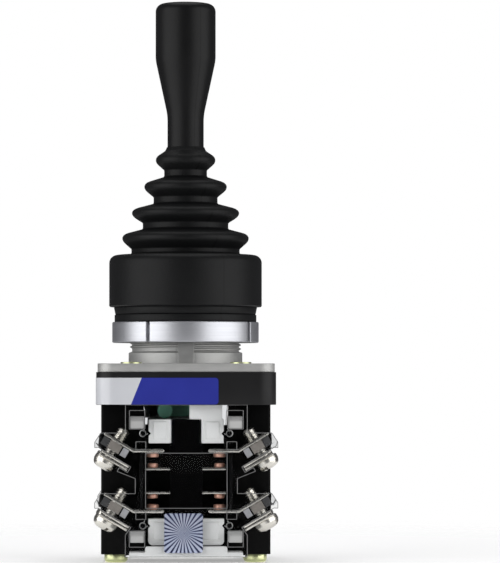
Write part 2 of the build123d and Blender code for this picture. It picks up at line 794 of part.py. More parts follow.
def make_bridge(facing):
    foot, top = bridge_heights(facing)
    bridge = block((-bridge_half_length, bridge_half_length),
                   (-contact_depth - bridge_width / 2, -contact_depth + bridge_width / 2), (foot, top))
    return fillet(bridge.edges().filter_by(Axis.Z), 0.6)


def make_bridge_rivets():
    rivets = []
    for facing in (1, -1):
        foot, top = bridge_heights(facing)
        ends = (top, top + rivet_height) if facing > 0 else (foot - rivet_height, foot)
        for x in (-rivet_x, rivet_x):
            rivets.append(rod(bridge_rivet_radius, ends[0], ends[1], x, -contact_depth))
    return Compound(children=rivets)


def carrier_window(facing):
    """The tunnel across the carrier for one bridge and its spring."""
    foot, top = bridge_heights(facing)
    ends = sorted((chamber_middle + facing * carrier_web, (top + slip) if facing > 0 else (foot - slip)))
    half = bridge_width / 2 + slip
    return block((-carrier_chamber_half_width - 1, carrier_chamber_half_width + 1),
                 (-contact_depth - half, -contact_depth + half), ends)


def make_carrier():
    top = block_top - head_foot - slip
    foot = block_top - lower_slider_top
    neck_foot = block_top - leg_foot - 0.5
    neck = block((-carrier_half_width, carrier_half_width), (-carrier_front, -carrier_neck_back),
                 (neck_foot - 0.5, top))
    trunk = block((-carrier_chamber_half_width, carrier_chamber_half_width),
                  (-carrier_front, -carrier_back), (foot + slip, neck_foot))
    carrier = neck + trunk
    for facing in (1, -1):
        carrier -= carrier_window(facing)
    return carrier


def make_contact_springs():
    springs = []
    for facing in (1, -1):
        foot, top = bridge_heights(facing)
        window = sorted((chamber_middle + facing * carrier_web, foot if facing > 0 else top))
        half_wire = contact_spring_wire / 2
        low = window[0] + half_wire + slip
        height = window[1] - half_wire - slip - low
        coil = Helix(pitch=height / 2, height=height, radius=contact_spring_radius,
                     center=(0, -contact_depth, low))
        springs.append(sweep(Plane(origin=coil @ 0, z_dir=coil % 0) * Circle(half_wire), path=coil,
                             is_frenet=True))
    return Compound(children=springs)


def notch_cutters(x, height, depth):
    """The V notch that a hairpin spring's nose drops into, on both edges of a slider."""
    notch = make_face(Polyline((x - 0.1, height - depth - 0.1), (x - 0.1, height + depth + 0.1),
                               (x + depth, height), close=True))
    return both_sides(plate_between(notch, -slider_front - 1, -slider_back + 1))


def crank_slot(reach):
    """Front-view outline of the slot that a crank pin of the given reach sweeps."""
    low = crank_height - crank_radius - 3 * slip
    high = crank_height + crank_radius + slot_rise + 3 * slip
    inward = reach * (1 - cos(radians(tilt_limit)))
    near = reach - slot_sweep - inward
    far = reach + slot_sweep - inward
    return (near, far), (low, high)


def slider_leg():
    leg = block((-leg_outer, -leg_inner), (-slider_front, -slider_back),
                (block_top - leg_foot, block_top - head_foot))
    pad = block((-leg_outer + 1.2, -leg_inner - 1.2), (-slider_front - pad_height, -slider_front + 0.1),
                (block_top - leg_foot + 1.1, block_top - head_foot - 0.6))
    return leg + pad


def make_upper_slider(rear):
    head = block((head_left, head_right), (-slider_front, -slider_back),
                 (block_top - head_foot, block_top + head_top))
    link = block((-leg_inner - 0.1, leg_inner + 0.1), (-carrier_neck_back + slip, -slider_back),
                 (block_top - leg_foot, block_top - head_foot))
    slider = head + link
    for leg in both_sides(slider_leg()):
        slider += leg
    (near, far), (low, high) = crank_slot(crank_reach)
    if rear:
        slider += rear_finger(low, high)
    else:
        depth = (slider_front + slider_back) / 2 + loose
        slider -= block((near, far), (-depth, -slider_back + 1), (low, high))
    for cutter in notch_cutters(-leg_outer, block_top - notch_heights[0], notch_depth):
        slider -= cutter
    return slider


def rear_finger(low, high):
    """The arm that reaches in over the block to the gimbal's crank, before the half turn."""
    (near, far), _ = crank_slot(crank_reach)
    inner_x = crank_arm_inner + crank_arm_thickness + loose
    finger = block((inner_x, inner_x + finger_thickness), (-slider_front, -near + finger_edge),
                   (low - finger_edge, high + finger_edge))
    finger += block((head_right - 0.2, inner_x + finger_thickness), (-slider_front, -slider_back),
                    (low - finger_edge, high + finger_edge))
    return finger - block((inner_x - 1, inner_x + finger_thickness + 1), (-far, -near), (low, high))


def make_lower_slider():
    half = lower_slider_half_width
    top = block_top - lower_slider_top
    foot = block_top - lower_slider_foot
    slider = block((-half, half), (-slider_front, -slider_back), (foot, top))
    slider = fillet(slider.edges().filter_by(Axis.Y).group_by(Axis.Z)[0], 1.2)
    pad = block((-half + 1.4, -leg_inner), (-slider_front - pad_height, -slider_front + 0.1),
                (foot + 1.5, top - 0.9))
    for raised in both_sides(pad):
        slider += raised
    for cutter in notch_cutters(-half, block_top - notch_heights[1], notch_depth):
        slider -= cutter
    return slider


def make_terminal_screws():
    profile = [(0, -wire_gap - 2 * plate_thickness - plate_gap - 2 * slip)]
    seat = profile[0][1]
    screw = rod(terminal_screw_radius, seat - 0.5, terminal_screw_tip)
    head = turned((0, seat), (terminal_head_radius, seat), (terminal_head_radius, seat - terminal_head_rim),
                  (terminal_head_crown, seat - terminal_head_height + terminal_head_slope),
                  (0, seat - terminal_head_height))
    head -= block((-terminal_head_radius - 1, terminal_head_radius + 1),
                  (-terminal_slot_width / 2, terminal_slot_width / 2),
                  (seat - terminal_head_height - 1, seat - terminal_head_height + terminal_slot_depth))
    screws = []
    for shift in terminal_shifts().values():
        screws += both_sides(terminal_plane(shift).location * (screw + head))
    return Compound(children=screws)


def make_clamp_plates():
    plates = []
    for shift in terminal_shifts().values():
        for gap in (0, plate_thickness + plate_gap):
            top = -wire_gap - slip - gap - 0.05
            plate = block((-plate_inner, plate_outer), (-plate_width / 2, plate_width / 2),
                          (top - plate_thickness, top))
            plate -= rod(terminal_screw_radius + 0.2, top - 2, top + 1)
            plates += both_sides(terminal_plane(shift).location * plate)
    return Compound(children=plates)


def make_hairpin_springs():
    springs = []
    nose_x = -leg_outer - loose / 2
    for number, height in enumerate(notch_heights):
        z = block_top - height
        nose = nose_x if number == 0 else -lower_slider_half_width - loose / 2
        ring = Pos(-post_x, z) * (Circle(hairpin_radius) - Circle(hairpin_radius - hairpin_wire))
        tip = make_face(Polyline((nose - 0.8, z + 0.5), (nose, z), (nose - 0.8, z - 0.5),
                                 (nose - 0.8, z - 0.2), (nose - 0.4, z), (nose - 0.8, z + 0.2), close=True))
        wire = ring + tip
        springs += both_sides(plate_between(wire, -slider_front + 1.0, -slider_front + 1.0 + hairpin_depth))
    return Compound(children=springs)


def contact_block(side):
    """Every piece of one contact block by name; the rear block's finger meets the gimbal."""
    pieces = {
        "block_body": make_block_body(),
        "clear_cover": make_clear_cover(),
        "cover_latches": make_cover_latches(),
        "bottom_guide": make_bottom_guide(),
        "fixed_rivets": make_fixed_rivets(),
        "terminal_screws": make_terminal_screws(),
        "clamp_plates": make_clamp_plates(),
        "hairpin_springs": make_hairpin_springs(),
        "upper_slider": make_upper_slider(side == "rear"),
        "carrier": make_carrier(),
        "lower_slider": make_lower_slider(),
        "upper_bridge": make_bridge(1),
        "lower_bridge": make_bridge(-1),
        "bridge_rivets": make_bridge_rivets(),
        "contact_springs": make_contact_springs(),
    }
    for level, shift in terminal_shifts().items():
        left, right = both_sides(terminal_strip(shift))
        pieces[f"{level}_left_terminal"] = left
        pieces[f"{level}_right_terminal"] = right
    return {f"{side}_{name}": shape for name, shape in pieces.items()}


def all_nodes():
    nodes = {
        "handle": make_handle(),
        "lever_shaft": make_lever_shaft(),
        "lever_pin": make_lever_pin(),
        "spring_plate": make_spring_plate(),
        "retaining_clip": make_retaining_clip(),
        "return_spring": make_return_spring(),
        "rubber_boot": make_rubber_boot(),
        "boot_collar": make_boot_collar(),
        "upper_washer": make_washer(upper_washer_foot, upper_washer_thickness, upper_washer_taper),
        "lower_washer": make_washer(washer_foot, lower_washer_thickness, 0),
        "ring_nut": make_ring_nut(),
        "mounting_bush": make_mounting_bush(),
        "gate_plate": make_gate_plate(),
        "flange_screws": make_flange_screws(),
        "base_housing": make_base_housing(),
        "gimbal": make_gimbal(),
        "side_rocker": make_side_rocker(),
        "fixing_screws": make_fixing_screws(),
    }
    nodes.update(contact_block("front"))
    for name, shape in contact_block("rear").items():
        nodes[name] = Rot(0, 0, 180) * shape
    return nodes


def main():
    os.makedirs("parts", exist_ok=True)
    for name, shape in all_nodes().items():
        export_step(shape, f"parts/{name}.step")


main()
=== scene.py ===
import json
from math import cos, pi, radians, sin, sqrt, tan

import bmesh
import bpy
from mathutils import Matrix, Vector

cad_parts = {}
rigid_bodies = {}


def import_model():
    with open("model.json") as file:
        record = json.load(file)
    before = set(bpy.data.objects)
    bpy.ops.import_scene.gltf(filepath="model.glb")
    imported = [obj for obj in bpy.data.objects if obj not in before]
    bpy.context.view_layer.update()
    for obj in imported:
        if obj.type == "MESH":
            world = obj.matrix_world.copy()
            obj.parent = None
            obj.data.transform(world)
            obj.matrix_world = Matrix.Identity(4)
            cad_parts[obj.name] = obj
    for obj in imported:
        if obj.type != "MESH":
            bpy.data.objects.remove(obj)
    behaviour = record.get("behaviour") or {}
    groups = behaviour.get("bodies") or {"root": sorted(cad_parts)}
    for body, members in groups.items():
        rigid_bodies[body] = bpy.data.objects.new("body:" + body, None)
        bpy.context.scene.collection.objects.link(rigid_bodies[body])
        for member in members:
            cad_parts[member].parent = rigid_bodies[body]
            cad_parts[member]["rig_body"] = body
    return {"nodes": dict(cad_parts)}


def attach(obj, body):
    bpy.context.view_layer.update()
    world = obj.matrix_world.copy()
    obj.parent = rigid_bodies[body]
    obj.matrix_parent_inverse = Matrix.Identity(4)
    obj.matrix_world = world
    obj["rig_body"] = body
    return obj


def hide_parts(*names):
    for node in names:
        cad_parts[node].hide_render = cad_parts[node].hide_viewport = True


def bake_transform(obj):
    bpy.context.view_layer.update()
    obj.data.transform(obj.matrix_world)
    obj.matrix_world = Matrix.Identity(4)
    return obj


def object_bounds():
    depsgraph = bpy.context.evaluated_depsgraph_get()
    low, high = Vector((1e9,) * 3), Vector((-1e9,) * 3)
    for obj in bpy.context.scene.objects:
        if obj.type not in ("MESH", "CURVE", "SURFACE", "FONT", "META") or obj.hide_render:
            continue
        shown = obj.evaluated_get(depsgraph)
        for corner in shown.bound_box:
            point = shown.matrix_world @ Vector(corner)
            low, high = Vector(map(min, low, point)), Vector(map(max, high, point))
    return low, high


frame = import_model()
nodes = frame["nodes"]
cad_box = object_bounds()

# Sizes below are in millimetres and angles in degrees; a finished mesh is scaled to metres by MM
MM = 0.001
weld = 0.001                  # vertices that lie closer than this become one
flat_turn = 1.0               # faces that turn by less than this from one to the next become one
sharp_turn = 30               # an edge that turns by more than this is sharp
soft_turn = 40                # the same for wires, prints and pieces with softened edges
turned_steps = 128            # round the lever's axis, for the handle and the boot
corner_segments = 6

# Boot: each groove by its radius, foot and top, and each rim by the sharp corner before it is rounded
skirt_radius = 19.8
skirt_foot = 14.7
skirt_top = 28.0
skirt_corner = 2.0
skirt_wall = 1.8
skirt_foot_edge = 0.25
boot_wall = 0.8
fold_grooves = [(14.05, 28.4, 29.7), (11.1, 34.9, 36.5), (8.3, 41.5, 43.2), (5.55, 48.5, 50.2)]
fold_rims = [(17.9, 33.1), (15.9, 39.5), (12.2, 46.4), (8.7, 53.0)]
fold_rounding = 1.6
groove_rounding = 0.5
inner_rounding = 0.4
lip_radius = 5.3
lip_outside = 0.95
lip_inside = 1.6
lip_edge = 0.18
lip_gap = 0.05                # between the lip and the handle's neck
lip_rounding = 1.2
boot_top = 56.2
boot_turn = 35                # an edge of the boot that turns by more than this is sharp
seam_fold = 0                 # whose upper side holds the seam between the boot's two lengths
seam_share = 0.46             # from that fold's rim to the next groove
parting_angle = 29.0          # of the mould's parting line, to the right of the front
parting_half_width = 0.16

# Handle
neck_radius = 4.7
neck_rounding = 14.0
grip_radius = 7.8
grip_waist_rounding = 9.0
grip_rounding = 2.0
handle_foot = 47.0
handle_foot_edge = 0.5
neck_top = 64.5
grip_foot = 78.9
handle_top = 94.0
dome_radius = 30.0
dome_shares = (0.75, 0.35)    # of the crown's radius, where the dome's outline has a corner
dome_rounding = 8.0
stud_radius = 2.55
stud_top = 72.3

# Thread of the mounting bush
thread_crest = 14.4
thread_root = 13.85
thread_sunk = 0.2             # how far the ridge reaches into the bush
thread_half_foot = 0.42
thread_half_crest = 0.09
thread_pitch = 1.0
thread_foot = 3.1
thread_turns = 15
thread_steps = 120            # in each turn
thread_turn = 25              # an edge of the thread that turns by more than this is sharp
key_half_angle = 8.6

# Return spring
spring_wire = 1.0
spring_foot = 19.55
spring_top = 36.45
spring_foot_radius = 13.2
spring_top_radius = 4.6
spring_turns = 5.6
spring_steps = 120            # in each of its two lengths

# Label and sticker
base_half_width = 22.85
base_corner = 4.6
label_thickness = 0.09
label_foot = -10.4
label_top = -3.65
label_right = 8.1
label_side_length = 7.0
label_corner_steps = 12
label_rounding = 0.8
border_top = -11.3            # where the label's blue starts, at its top edge
border_slant = 2.7 / 6.75
print_segments = 5            # in each rounded corner of the label and the sticker
nearly = 1e-4                 # two measures of the label that differ by less are the same
sticker_left = -5.6
sticker_right = 4.2
sticker_foot = -47.9
sticker_top = -37.9
sticker_thickness = 0.08
sticker_rounding = 0.7
foil_rays = 30.0
foil_ray_limit = -0.25        # of the sine wave round the middle, above which the foil is bare
cover_face = -22.0

# Contact blocks: the rear one is the front one after half a turn
half_turns = {"front": 0.0, "rear": pi}
facings = {"front": 1, "rear": -1}

# Contact block, with heights measured from the middle of the contact chamber
chamber_middle = -29.8
contact_depth = 16.4
strip_height = 7.65
strip_bend = 13.3
strip_slope = 31.0
terminal_hole = 4.66
cloudy_from = 15.6            # the cover's clear wings are clouded from here outwards

# Terminal screw, with heights measured from the hole in its strip
screw_radius = 1.75
screw_core = 1.5
screw_pitch = 0.6
screw_tip = 3.5
screw_tip_edge = 0.4
screw_sunk = 0.1              # of the ridge in the core, and of the core in the head
screw_half_foot = 0.26
screw_half_crest = 0.05
screw_ridge_start = 0.5       # above the head's seat
screw_turn_steps = 20         # in each turn of the ridge
screw_core_steps = 32
head_seat = -5.3
head_radius = 3.2
head_height = 2.8
head_steps = 48
# The head's outline: how far in from its radius, how far below its seat, and the rounding there
head_outline = [(0.2, 0.0, 0), (0.0, 0.25, 0.15), (0.0, 1.2, 0.5), (0.55, 2.45, 1.2), (1.8, 2.8, 1.0)]
head_slot = (7.4, 0.75, 1.0)  # length, width and depth
head_cross = (0.85, 3.4, 1.3)
head_turns = {"upper_left": 25, "upper_right": 70, "lower_left": 115, "lower_right": 150}

# Hairpin springs
hairpin_x = 11.0
hairpin_radius = 0.78
hairpin_wire = 0.3
hairpin_depth = 17.6          # of the coil's front turn
hairpin_rise = 2.2            # of the whole coil, in thicknesses of its wire
hairpin_start = -40.0
hairpin_turns = 1.75
hairpin_steps = 44
hairpin_leg = (0.55, 1.3)     # from the coil's middle to the end of its second leg
hairpin_notches = {"upper": (-17.8, 9.65), "lower": (-41.2, 9.75)}

# Grey lines along the cover's edges, as painted highlights where its clear edges catch the light
edge_line = 0.17
edge_line_turn = 40           # an edge that turns by more than this has a line
edge_line_depth = 0.05        # and lies this close to the cover's front

# Plates behind the clear wings, measured from each screw: the ends of each one along the strip
wing_plates = {"dark": (1.8, 3.6), "beige": (-1.7, 1.6), "light": (-3.7, -2.1)}
wing_plate_heights = (-2.7, -0.5)
wing_plate_depths = (-4.4, -4.0)

# Black webs behind the upper latches, as painted shade in the block bodies
web_left = -12.7
web_right = -10.65
web_front = -11.0
web_back = -10.3
web_foot = -16.6
web_top = -10.6


# Making meshes

def finish_mesh(name, shape, turn=sharp_turn):
    """Makes a bmesh in millimetres into an object in metres, smooth except at sharp edges."""
    bmesh.ops.remove_doubles(shape, verts=shape.verts, dist=weld)
    bmesh.ops.recalc_face_normals(shape, faces=shape.faces)
    bmesh.ops.scale(shape, vec=(MM, MM, MM), verts=shape.verts)
    mesh = bpy.data.meshes.new(name)
    shape.to_mesh(mesh)
    shape.free()
    return place_mesh(name, mesh, turn)


def place_mesh(name, mesh, turn=sharp_turn):
    """An object with a mesh that is smooth except at edges that turn by more than an angle."""
    mesh.shade_smooth()
    mesh.set_sharp_from_angle(angle=radians(turn))
    piece = bpy.data.objects.new(name, mesh)
    bpy.context.scene.collection.objects.link(piece)
    return piece


def wire_outline(shape, points, closed):
    """Vertices and edges through (radius, height) points in the XZ plane."""
    corners = [shape.verts.new((radius, 0, height)) for radius, height in points]
    pairs = list(zip(corners, corners[1:]))
    if closed:
        pairs.append((corners[-1], corners[0]))
    for pair in pairs:
        shape.edges.new(pair)
    return corners


def round_corner(shape, corner, reach):
    bmesh.ops.bevel(shape, geom=[corner], offset=reach, offset_type="OFFSET", segments=corner_segments,
                    profile=0.5, affect="VERTICES", material=-1)


def round_edges(shape, edges, reach):
    bmesh.ops.bevel(shape, geom=edges, offset=reach, offset_type="OFFSET", segments=print_segments,
                    profile=0.5, affect="EDGES", material=-1)


def turn_about_axis(shape, steps):
    bmesh.ops.spin(shape, geom=shape.verts[:] + shape.edges[:], cent=(0, 0, 0), axis=(0, 0, 1),
                   angle=2 * pi, steps=steps, use_merge=True)


def cut_lengths(points, closed=False):
    """The same corners, with the length cut off each side in place of the radius of rounding."""
    count = len(points)
    lengths = []
    for number, (radius, height, rounding) in enumerate(points):
        before = Vector(points[number - 1][:2])
        after = Vector(points[(number + 1) % count][:2])
        here = Vector((radius, height))
        if rounding and (closed or 0 < number < count - 1):
            turn = (here - before).angle(after - here)
            rounding = rounding * tan(turn / 2)
        lengths.append((radius, height, rounding))
    return lengths


def spun(points, steps, closed=False):
    """A turned bmesh from (radius, height, radius of rounding) points."""
    shape = bmesh.new()
    corners = wire_outline(shape, [(radius, height) for radius, height, _ in points], closed)
    for corner, (_, _, length) in zip(corners, cut_lengths(points, closed)):
        if length:
            round_corner(shape, corner, length)
    turn_about_axis(shape, steps)
    return shape


def box(shape, low, high):
    """A box between two corners, added to a bmesh."""
    size = [b - a for a, b in zip(low, high)]
    middle = [(a + b) / 2 for a, b in zip(low, high)]
    place = Matrix.Translation(middle) @ Matrix.Diagonal((*size, 1))
    bmesh.ops.create_cube(shape, size=1, matrix=place)


def extruded(shape, faces, reach):
    """Extrudes faces along a vector and gives the faces at the new end."""
    made = bmesh.ops.extrude_face_region(shape, geom=faces)["geom"]
    corners = [part for part in made if isinstance(part, bmesh.types.BMVert)]
    bmesh.ops.translate(shape, verts=corners, vec=reach)
    return [part for part in made if isinstance(part, bmesh.types.BMFace)]


def joined(shapes):
    """One bmesh that holds copies of several."""
    whole = bmesh.new()
    for shape in shapes:
        mesh = bpy.data.meshes.new("part")
        shape.to_mesh(mesh)
        shape.free()
        whole.from_mesh(mesh)
        bpy.data.meshes.remove(mesh)
    return whole


def merged(name, meshes):
    """One object that holds copies of finished meshes, each at its own place."""
    whole = bmesh.new()
    for mesh, place in meshes:
        copy = mesh.copy()
        copy.transform(place)
        if place.determinant() < 0:
            copy.flip_normals()
        whole.from_mesh(copy)
        bpy.data.meshes.remove(copy)
    mesh = bpy.data.meshes.new(name)
    whole.to_mesh(mesh)
    whole.free()
    return place_mesh(name, mesh)


def wire_mesh(name, lines, thickness, resolution=2):
    """Round wires along lists of points in millimetres, as one object."""
    curve = bpy.data.curves.new(name, "CURVE")
    curve.dimensions = "3D"
    curve.bevel_depth = thickness / 2 * MM
    curve.bevel_resolution = resolution
    curve.use_fill_caps = True
    for points in lines:
        line = curve.splines.new("POLY")
        line.points.add(len(points) - 1)
        for target, point in zip(line.points, points):
            target.co = (*(value * MM for value in point), 1)
    wire = bpy.data.objects.new(name, curve)
    bpy.context.scene.collection.objects.link(wire)
    depsgraph = bpy.context.evaluated_depsgraph_get()
    mesh = bpy.data.meshes.new_from_object(wire.evaluated_get(depsgraph))
    bpy.data.objects.remove(wire)
    return place_mesh(name, mesh, soft_turn)


def applied(piece):
    """Replaces a piece's mesh by what its modifiers make of it."""
    depsgraph = bpy.context.evaluated_depsgraph_get()
    mesh = bpy.data.meshes.new_from_object(piece.evaluated_get(depsgraph))
    piece.modifiers.clear()
    piece.data = mesh


def softened(node, edge):
    """A copy of a CAD node with its vertices merged and its edges rounded off."""
    shape = bmesh.new()
    shape.from_mesh(nodes[node].data)
    bmesh.ops.remove_doubles(shape, verts=shape.verts, dist=weld * MM)
    bmesh.ops.dissolve_limit(shape, angle_limit=radians(flat_turn), verts=shape.verts, edges=shape.edges)
    mesh = bpy.data.meshes.new(node + "_softened")
    shape.to_mesh(mesh)
    shape.free()
    piece = place_mesh(node + "_softened", mesh)
    bevel = piece.modifiers.new("edges", "BEVEL")
    bevel.width = edge * MM
    bevel.segments = 2
    bevel.limit_method = "ANGLE"
    bevel.angle_limit = radians(sharp_turn)
    applied(piece)
    piece.data.shade_smooth()
    piece.data.set_sharp_from_angle(angle=radians(soft_turn))
    return piece


# Materials: node groups that several finishes share

def new_group(name, inputs, outputs):
    """A node group with numbers as inputs and outputs, and its two end nodes."""
    tree = bpy.data.node_groups.new(name, "ShaderNodeTree")
    for label, value in inputs.items():
        socket = tree.interface.new_socket(label, in_out="INPUT", socket_type="NodeSocketFloat")
        socket.default_value = value
    for label in outputs:
        tree.interface.new_socket(label, in_out="OUTPUT", socket_type="NodeSocketFloat")
    return tree, tree.nodes.new("NodeGroupInput"), tree.nodes.new("NodeGroupOutput")


def math_node(tree, operation, first, second=None):
    """A Math node, with numbers or sockets as its inputs, and its output socket."""
    node = tree.nodes.new("ShaderNodeMath")
    node.operation = operation
    for socket, value in zip(node.inputs, (first, second)):
        if isinstance(value, bpy.types.NodeSocket):
            tree.links.new(value, socket)
        elif value is not None:
            socket.default_value = value
    return node.outputs[0]


def object_axes(tree, change=None):
    """The axes of the object coordinates, after what a vector node does to them, if one is given."""
    vector = tree.nodes.new("ShaderNodeTexCoord").outputs["Object"]
    if change:
        tree.links.new(vector, change.inputs["Vector"])
        vector = change.outputs["Vector"]
    split = tree.nodes.new("ShaderNodeSeparateXYZ")
    tree.links.new(vector, split.inputs["Vector"])
    return split.outputs


def noise_node(tree, scale, detail=3.0, stretch=(1, 1, 1)):
    """Noise on object coordinates, stretched along an axis where a value is small."""
    place = tree.nodes.new("ShaderNodeTexCoord")
    mapping = tree.nodes.new("ShaderNodeMapping")
    mapping.inputs["Scale"].default_value = stretch
    noise = tree.nodes.new("ShaderNodeTexNoise")
    noise.inputs["Detail"].default_value = detail
    tree.links.new(place.outputs["Object"], mapping.inputs["Vector"])
    tree.links.new(mapping.outputs["Vector"], noise.inputs["Vector"])
    if isinstance(scale, bpy.types.NodeSocket):
        tree.links.new(scale, noise.inputs["Scale"])
    else:
        noise.inputs["Scale"].default_value = scale
    return noise.outputs["Fac"]


def make_mould_grain():
    """Fine pitting and a slow drift of gloss, as on moulded plastic and rubber."""
    scales = {"Grain Scale": 2500.0, "Drift Scale": 90.0}
    tree, entry, leave = new_group("mould_grain", scales, ["Grain", "Drift"])
    tree.links.new(noise_node(tree, entry.outputs["Grain Scale"], detail=4.0), leave.inputs["Grain"])
    tree.links.new(noise_node(tree, entry.outputs["Drift Scale"], detail=2.0), leave.inputs["Drift"])
    return tree


def make_rubbed_edges():
    """A mask that is high where an edge stands out, broken up as real rubbing is."""
    tree, entry, leave = new_group("rubbed_edges", {"Radius": 0.0003, "Amount": 3.0}, ["Mask"])
    bevel = tree.nodes.new("ShaderNodeBevel")
    bevel.samples = 4
    tree.links.new(entry.outputs["Radius"], bevel.inputs["Radius"])
    geometry = tree.nodes.new("ShaderNodeNewGeometry")
    dot = tree.nodes.new("ShaderNodeVectorMath")
    dot.operation = "DOT_PRODUCT"
    tree.links.new(bevel.outputs["Normal"], dot.inputs[0])
    tree.links.new(geometry.outputs["Normal"], dot.inputs[1])
    bend = math_node(tree, "SUBTRACT", 1.0, dot.outputs["Value"])
    broken = math_node(tree, "MULTIPLY", bend, noise_node(tree, scale=700.0, detail=5.0))
    strong = math_node(tree, "MULTIPLY", broken, entry.outputs["Amount"])
    limited = math_node(tree, "MINIMUM", strong, 1.0)
    tree.links.new(limited, leave.inputs["Mask"])
    return tree


def make_turned_lines():
    """Fine rings round the lever's axis, as a lathe tool leaves them."""
    tree, entry, leave = new_group("turned_lines", {"Line Scale": 60.0}, ["Lines"])
    rings = noise_node(tree, entry.outputs["Line Scale"], detail=3.0, stretch=(1, 1, 90))
    tree.links.new(rings, leave.inputs["Lines"])
    return tree


def make_cast_skin():
    """The pitted skin of a die casting, with faint flow marks."""
    tree, entry, leave = new_group("cast_skin", {"Pit Scale": 1800.0}, ["Pits", "Flow"])
    tree.links.new(noise_node(tree, entry.outputs["Pit Scale"], detail=6.0), leave.inputs["Pits"])
    flow = noise_node(tree, scale=160.0, detail=4.0, stretch=(1, 1, 2.5))
    tree.links.new(flow, leave.inputs["Flow"])
    return tree


groups = {
    "grain": make_mould_grain(),
    "edges": make_rubbed_edges(),
    "lines": make_turned_lines(),
    "cast": make_cast_skin(),
}


# Materials: one function for each kind of finish

def new_material(name, base, roughness, metallic=0.0, specular=0.5):
    """A material with its node tree and its shader."""
    material = bpy.data.materials.new(name)
    material.use_nodes = True
    material.diffuse_color = (*base, 1)
    shader = material.node_tree.nodes["Principled BSDF"]
    shader.inputs["Base Color"].default_value = (*base, 1)
    shader.inputs["Roughness"].default_value = roughness
    shader.inputs["Metallic"].default_value = metallic
    shader.inputs["Specular IOR Level"].default_value = specular
    return material, material.node_tree, shader


def group_node(tree, kind, **values):
    """A node that holds one of the shared groups, and its outputs."""
    node = tree.nodes.new("ShaderNodeGroup")
    node.node_tree = groups[kind]
    for label, value in values.items():
        node.inputs[label.replace("_", " ")].default_value = value
    return node.outputs


def add_bump(tree, shader, height, distance):
    """Bumps in the surface, with their height in metres."""
    bump = tree.nodes.new("ShaderNodeBump")
    bump.inputs["Distance"].default_value = distance
    tree.links.new(height, bump.inputs["Height"])
    tree.links.new(bump.outputs["Normal"], shader.inputs["Normal"])


def tinted(colour, share):
    """A colour made darker or lighter."""
    return tuple(share * value for value in colour)


def vary(tree, mask, socket, low, high):
    """Drives a number on the shader from low to high by a mask."""
    spread = tree.nodes.new("ShaderNodeMapRange")
    spread.inputs["To Min"].default_value = low
    spread.inputs["To Max"].default_value = high
    tree.links.new(mask, spread.inputs["Value"])
    tree.links.new(spread.outputs["Result"], socket)


def mix_colour(tree, mask, first, second):
    """A colour between two colours or sockets, by a mask."""
    mix = tree.nodes.new("ShaderNodeMix")
    mix.data_type = "RGBA"
    tree.links.new(mask, mix.inputs["Factor"])
    for socket, value in ((mix.inputs[6], first), (mix.inputs[7], second)):
        if isinstance(value, bpy.types.NodeSocket):
            tree.links.new(value, socket)
        else:
            socket.default_value = (*value, 1)
    return mix.outputs[2]


def moulded_plastic(name, base, worn, roughness, grain=0.00002, specular=0.16):
    """Plastic or rubber from a mould, with another colour where its edges are worn."""
    drift = 0.08
    material, tree, shader = new_material(name, base, roughness, specular=specular)
    grain_out = group_node(tree, "grain")
    edges = group_node(tree, "edges", Radius=0.0004)
    shade = mix_colour(tree, grain_out["Drift"], tinted(base, 0.8), tinted(base, 1.2))
    tree.links.new(mix_colour(tree, edges["Mask"], shade, worn), shader.inputs["Base Color"])
    vary(tree, grain_out["Drift"], shader.inputs["Roughness"], roughness - drift, roughness + drift)
    add_bump(tree, shader, grain_out["Grain"], distance=grain)
    return material


def turned_metal(name, base, dull, roughness):
    """Metal from a lathe, duller along its tool lines."""
    material, tree, shader = new_material(name, base, roughness, metallic=1.0)
    rings = group_node(tree, "lines")
    tree.links.new(mix_colour(tree, rings["Lines"], dull, base), shader.inputs["Base Color"])
    vary(tree, rings["Lines"], shader.inputs["Roughness"], roughness + 0.12, roughness - 0.06)
    add_bump(tree, shader, rings["Lines"], distance=0.000006)
    return material


def plated_metal(name, base, tarnish, roughness, metallic=1.0):
    """Plated or painted sheet and wire, tarnished in patches."""
    material, tree, shader = new_material(name, base, roughness, metallic=metallic)
    grain_out = group_node(tree, "grain", Grain_Scale=1400.0, Drift_Scale=350.0)
    tree.links.new(mix_colour(tree, grain_out["Drift"], base, tarnish), shader.inputs["Base Color"])
    vary(tree, grain_out["Drift"], shader.inputs["Roughness"], roughness - 0.08, roughness + 0.12)
    add_bump(tree, shader, grain_out["Grain"], distance=0.000008)
    return material


def cast_metal(name, base, roughness):
    """A die casting, bright where its edges are rubbed."""
    rubbed = (0.75, 0.74, 0.72)
    material, tree, shader = new_material(name, base, roughness, metallic=0.75)
    skin = group_node(tree, "cast")
    edges = group_node(tree, "edges", Radius=0.0003, Amount=2.0)
    shade = mix_colour(tree, skin["Flow"], tinted(base, 0.72), tinted(base, 1.15))
    tree.links.new(mix_colour(tree, edges["Mask"], shade, rubbed), shader.inputs["Base Color"])
    vary(tree, skin["Flow"], shader.inputs["Roughness"], roughness - 0.08, roughness + 0.08)
    add_bump(tree, shader, skin["Pits"], distance=0.00003)
    return material


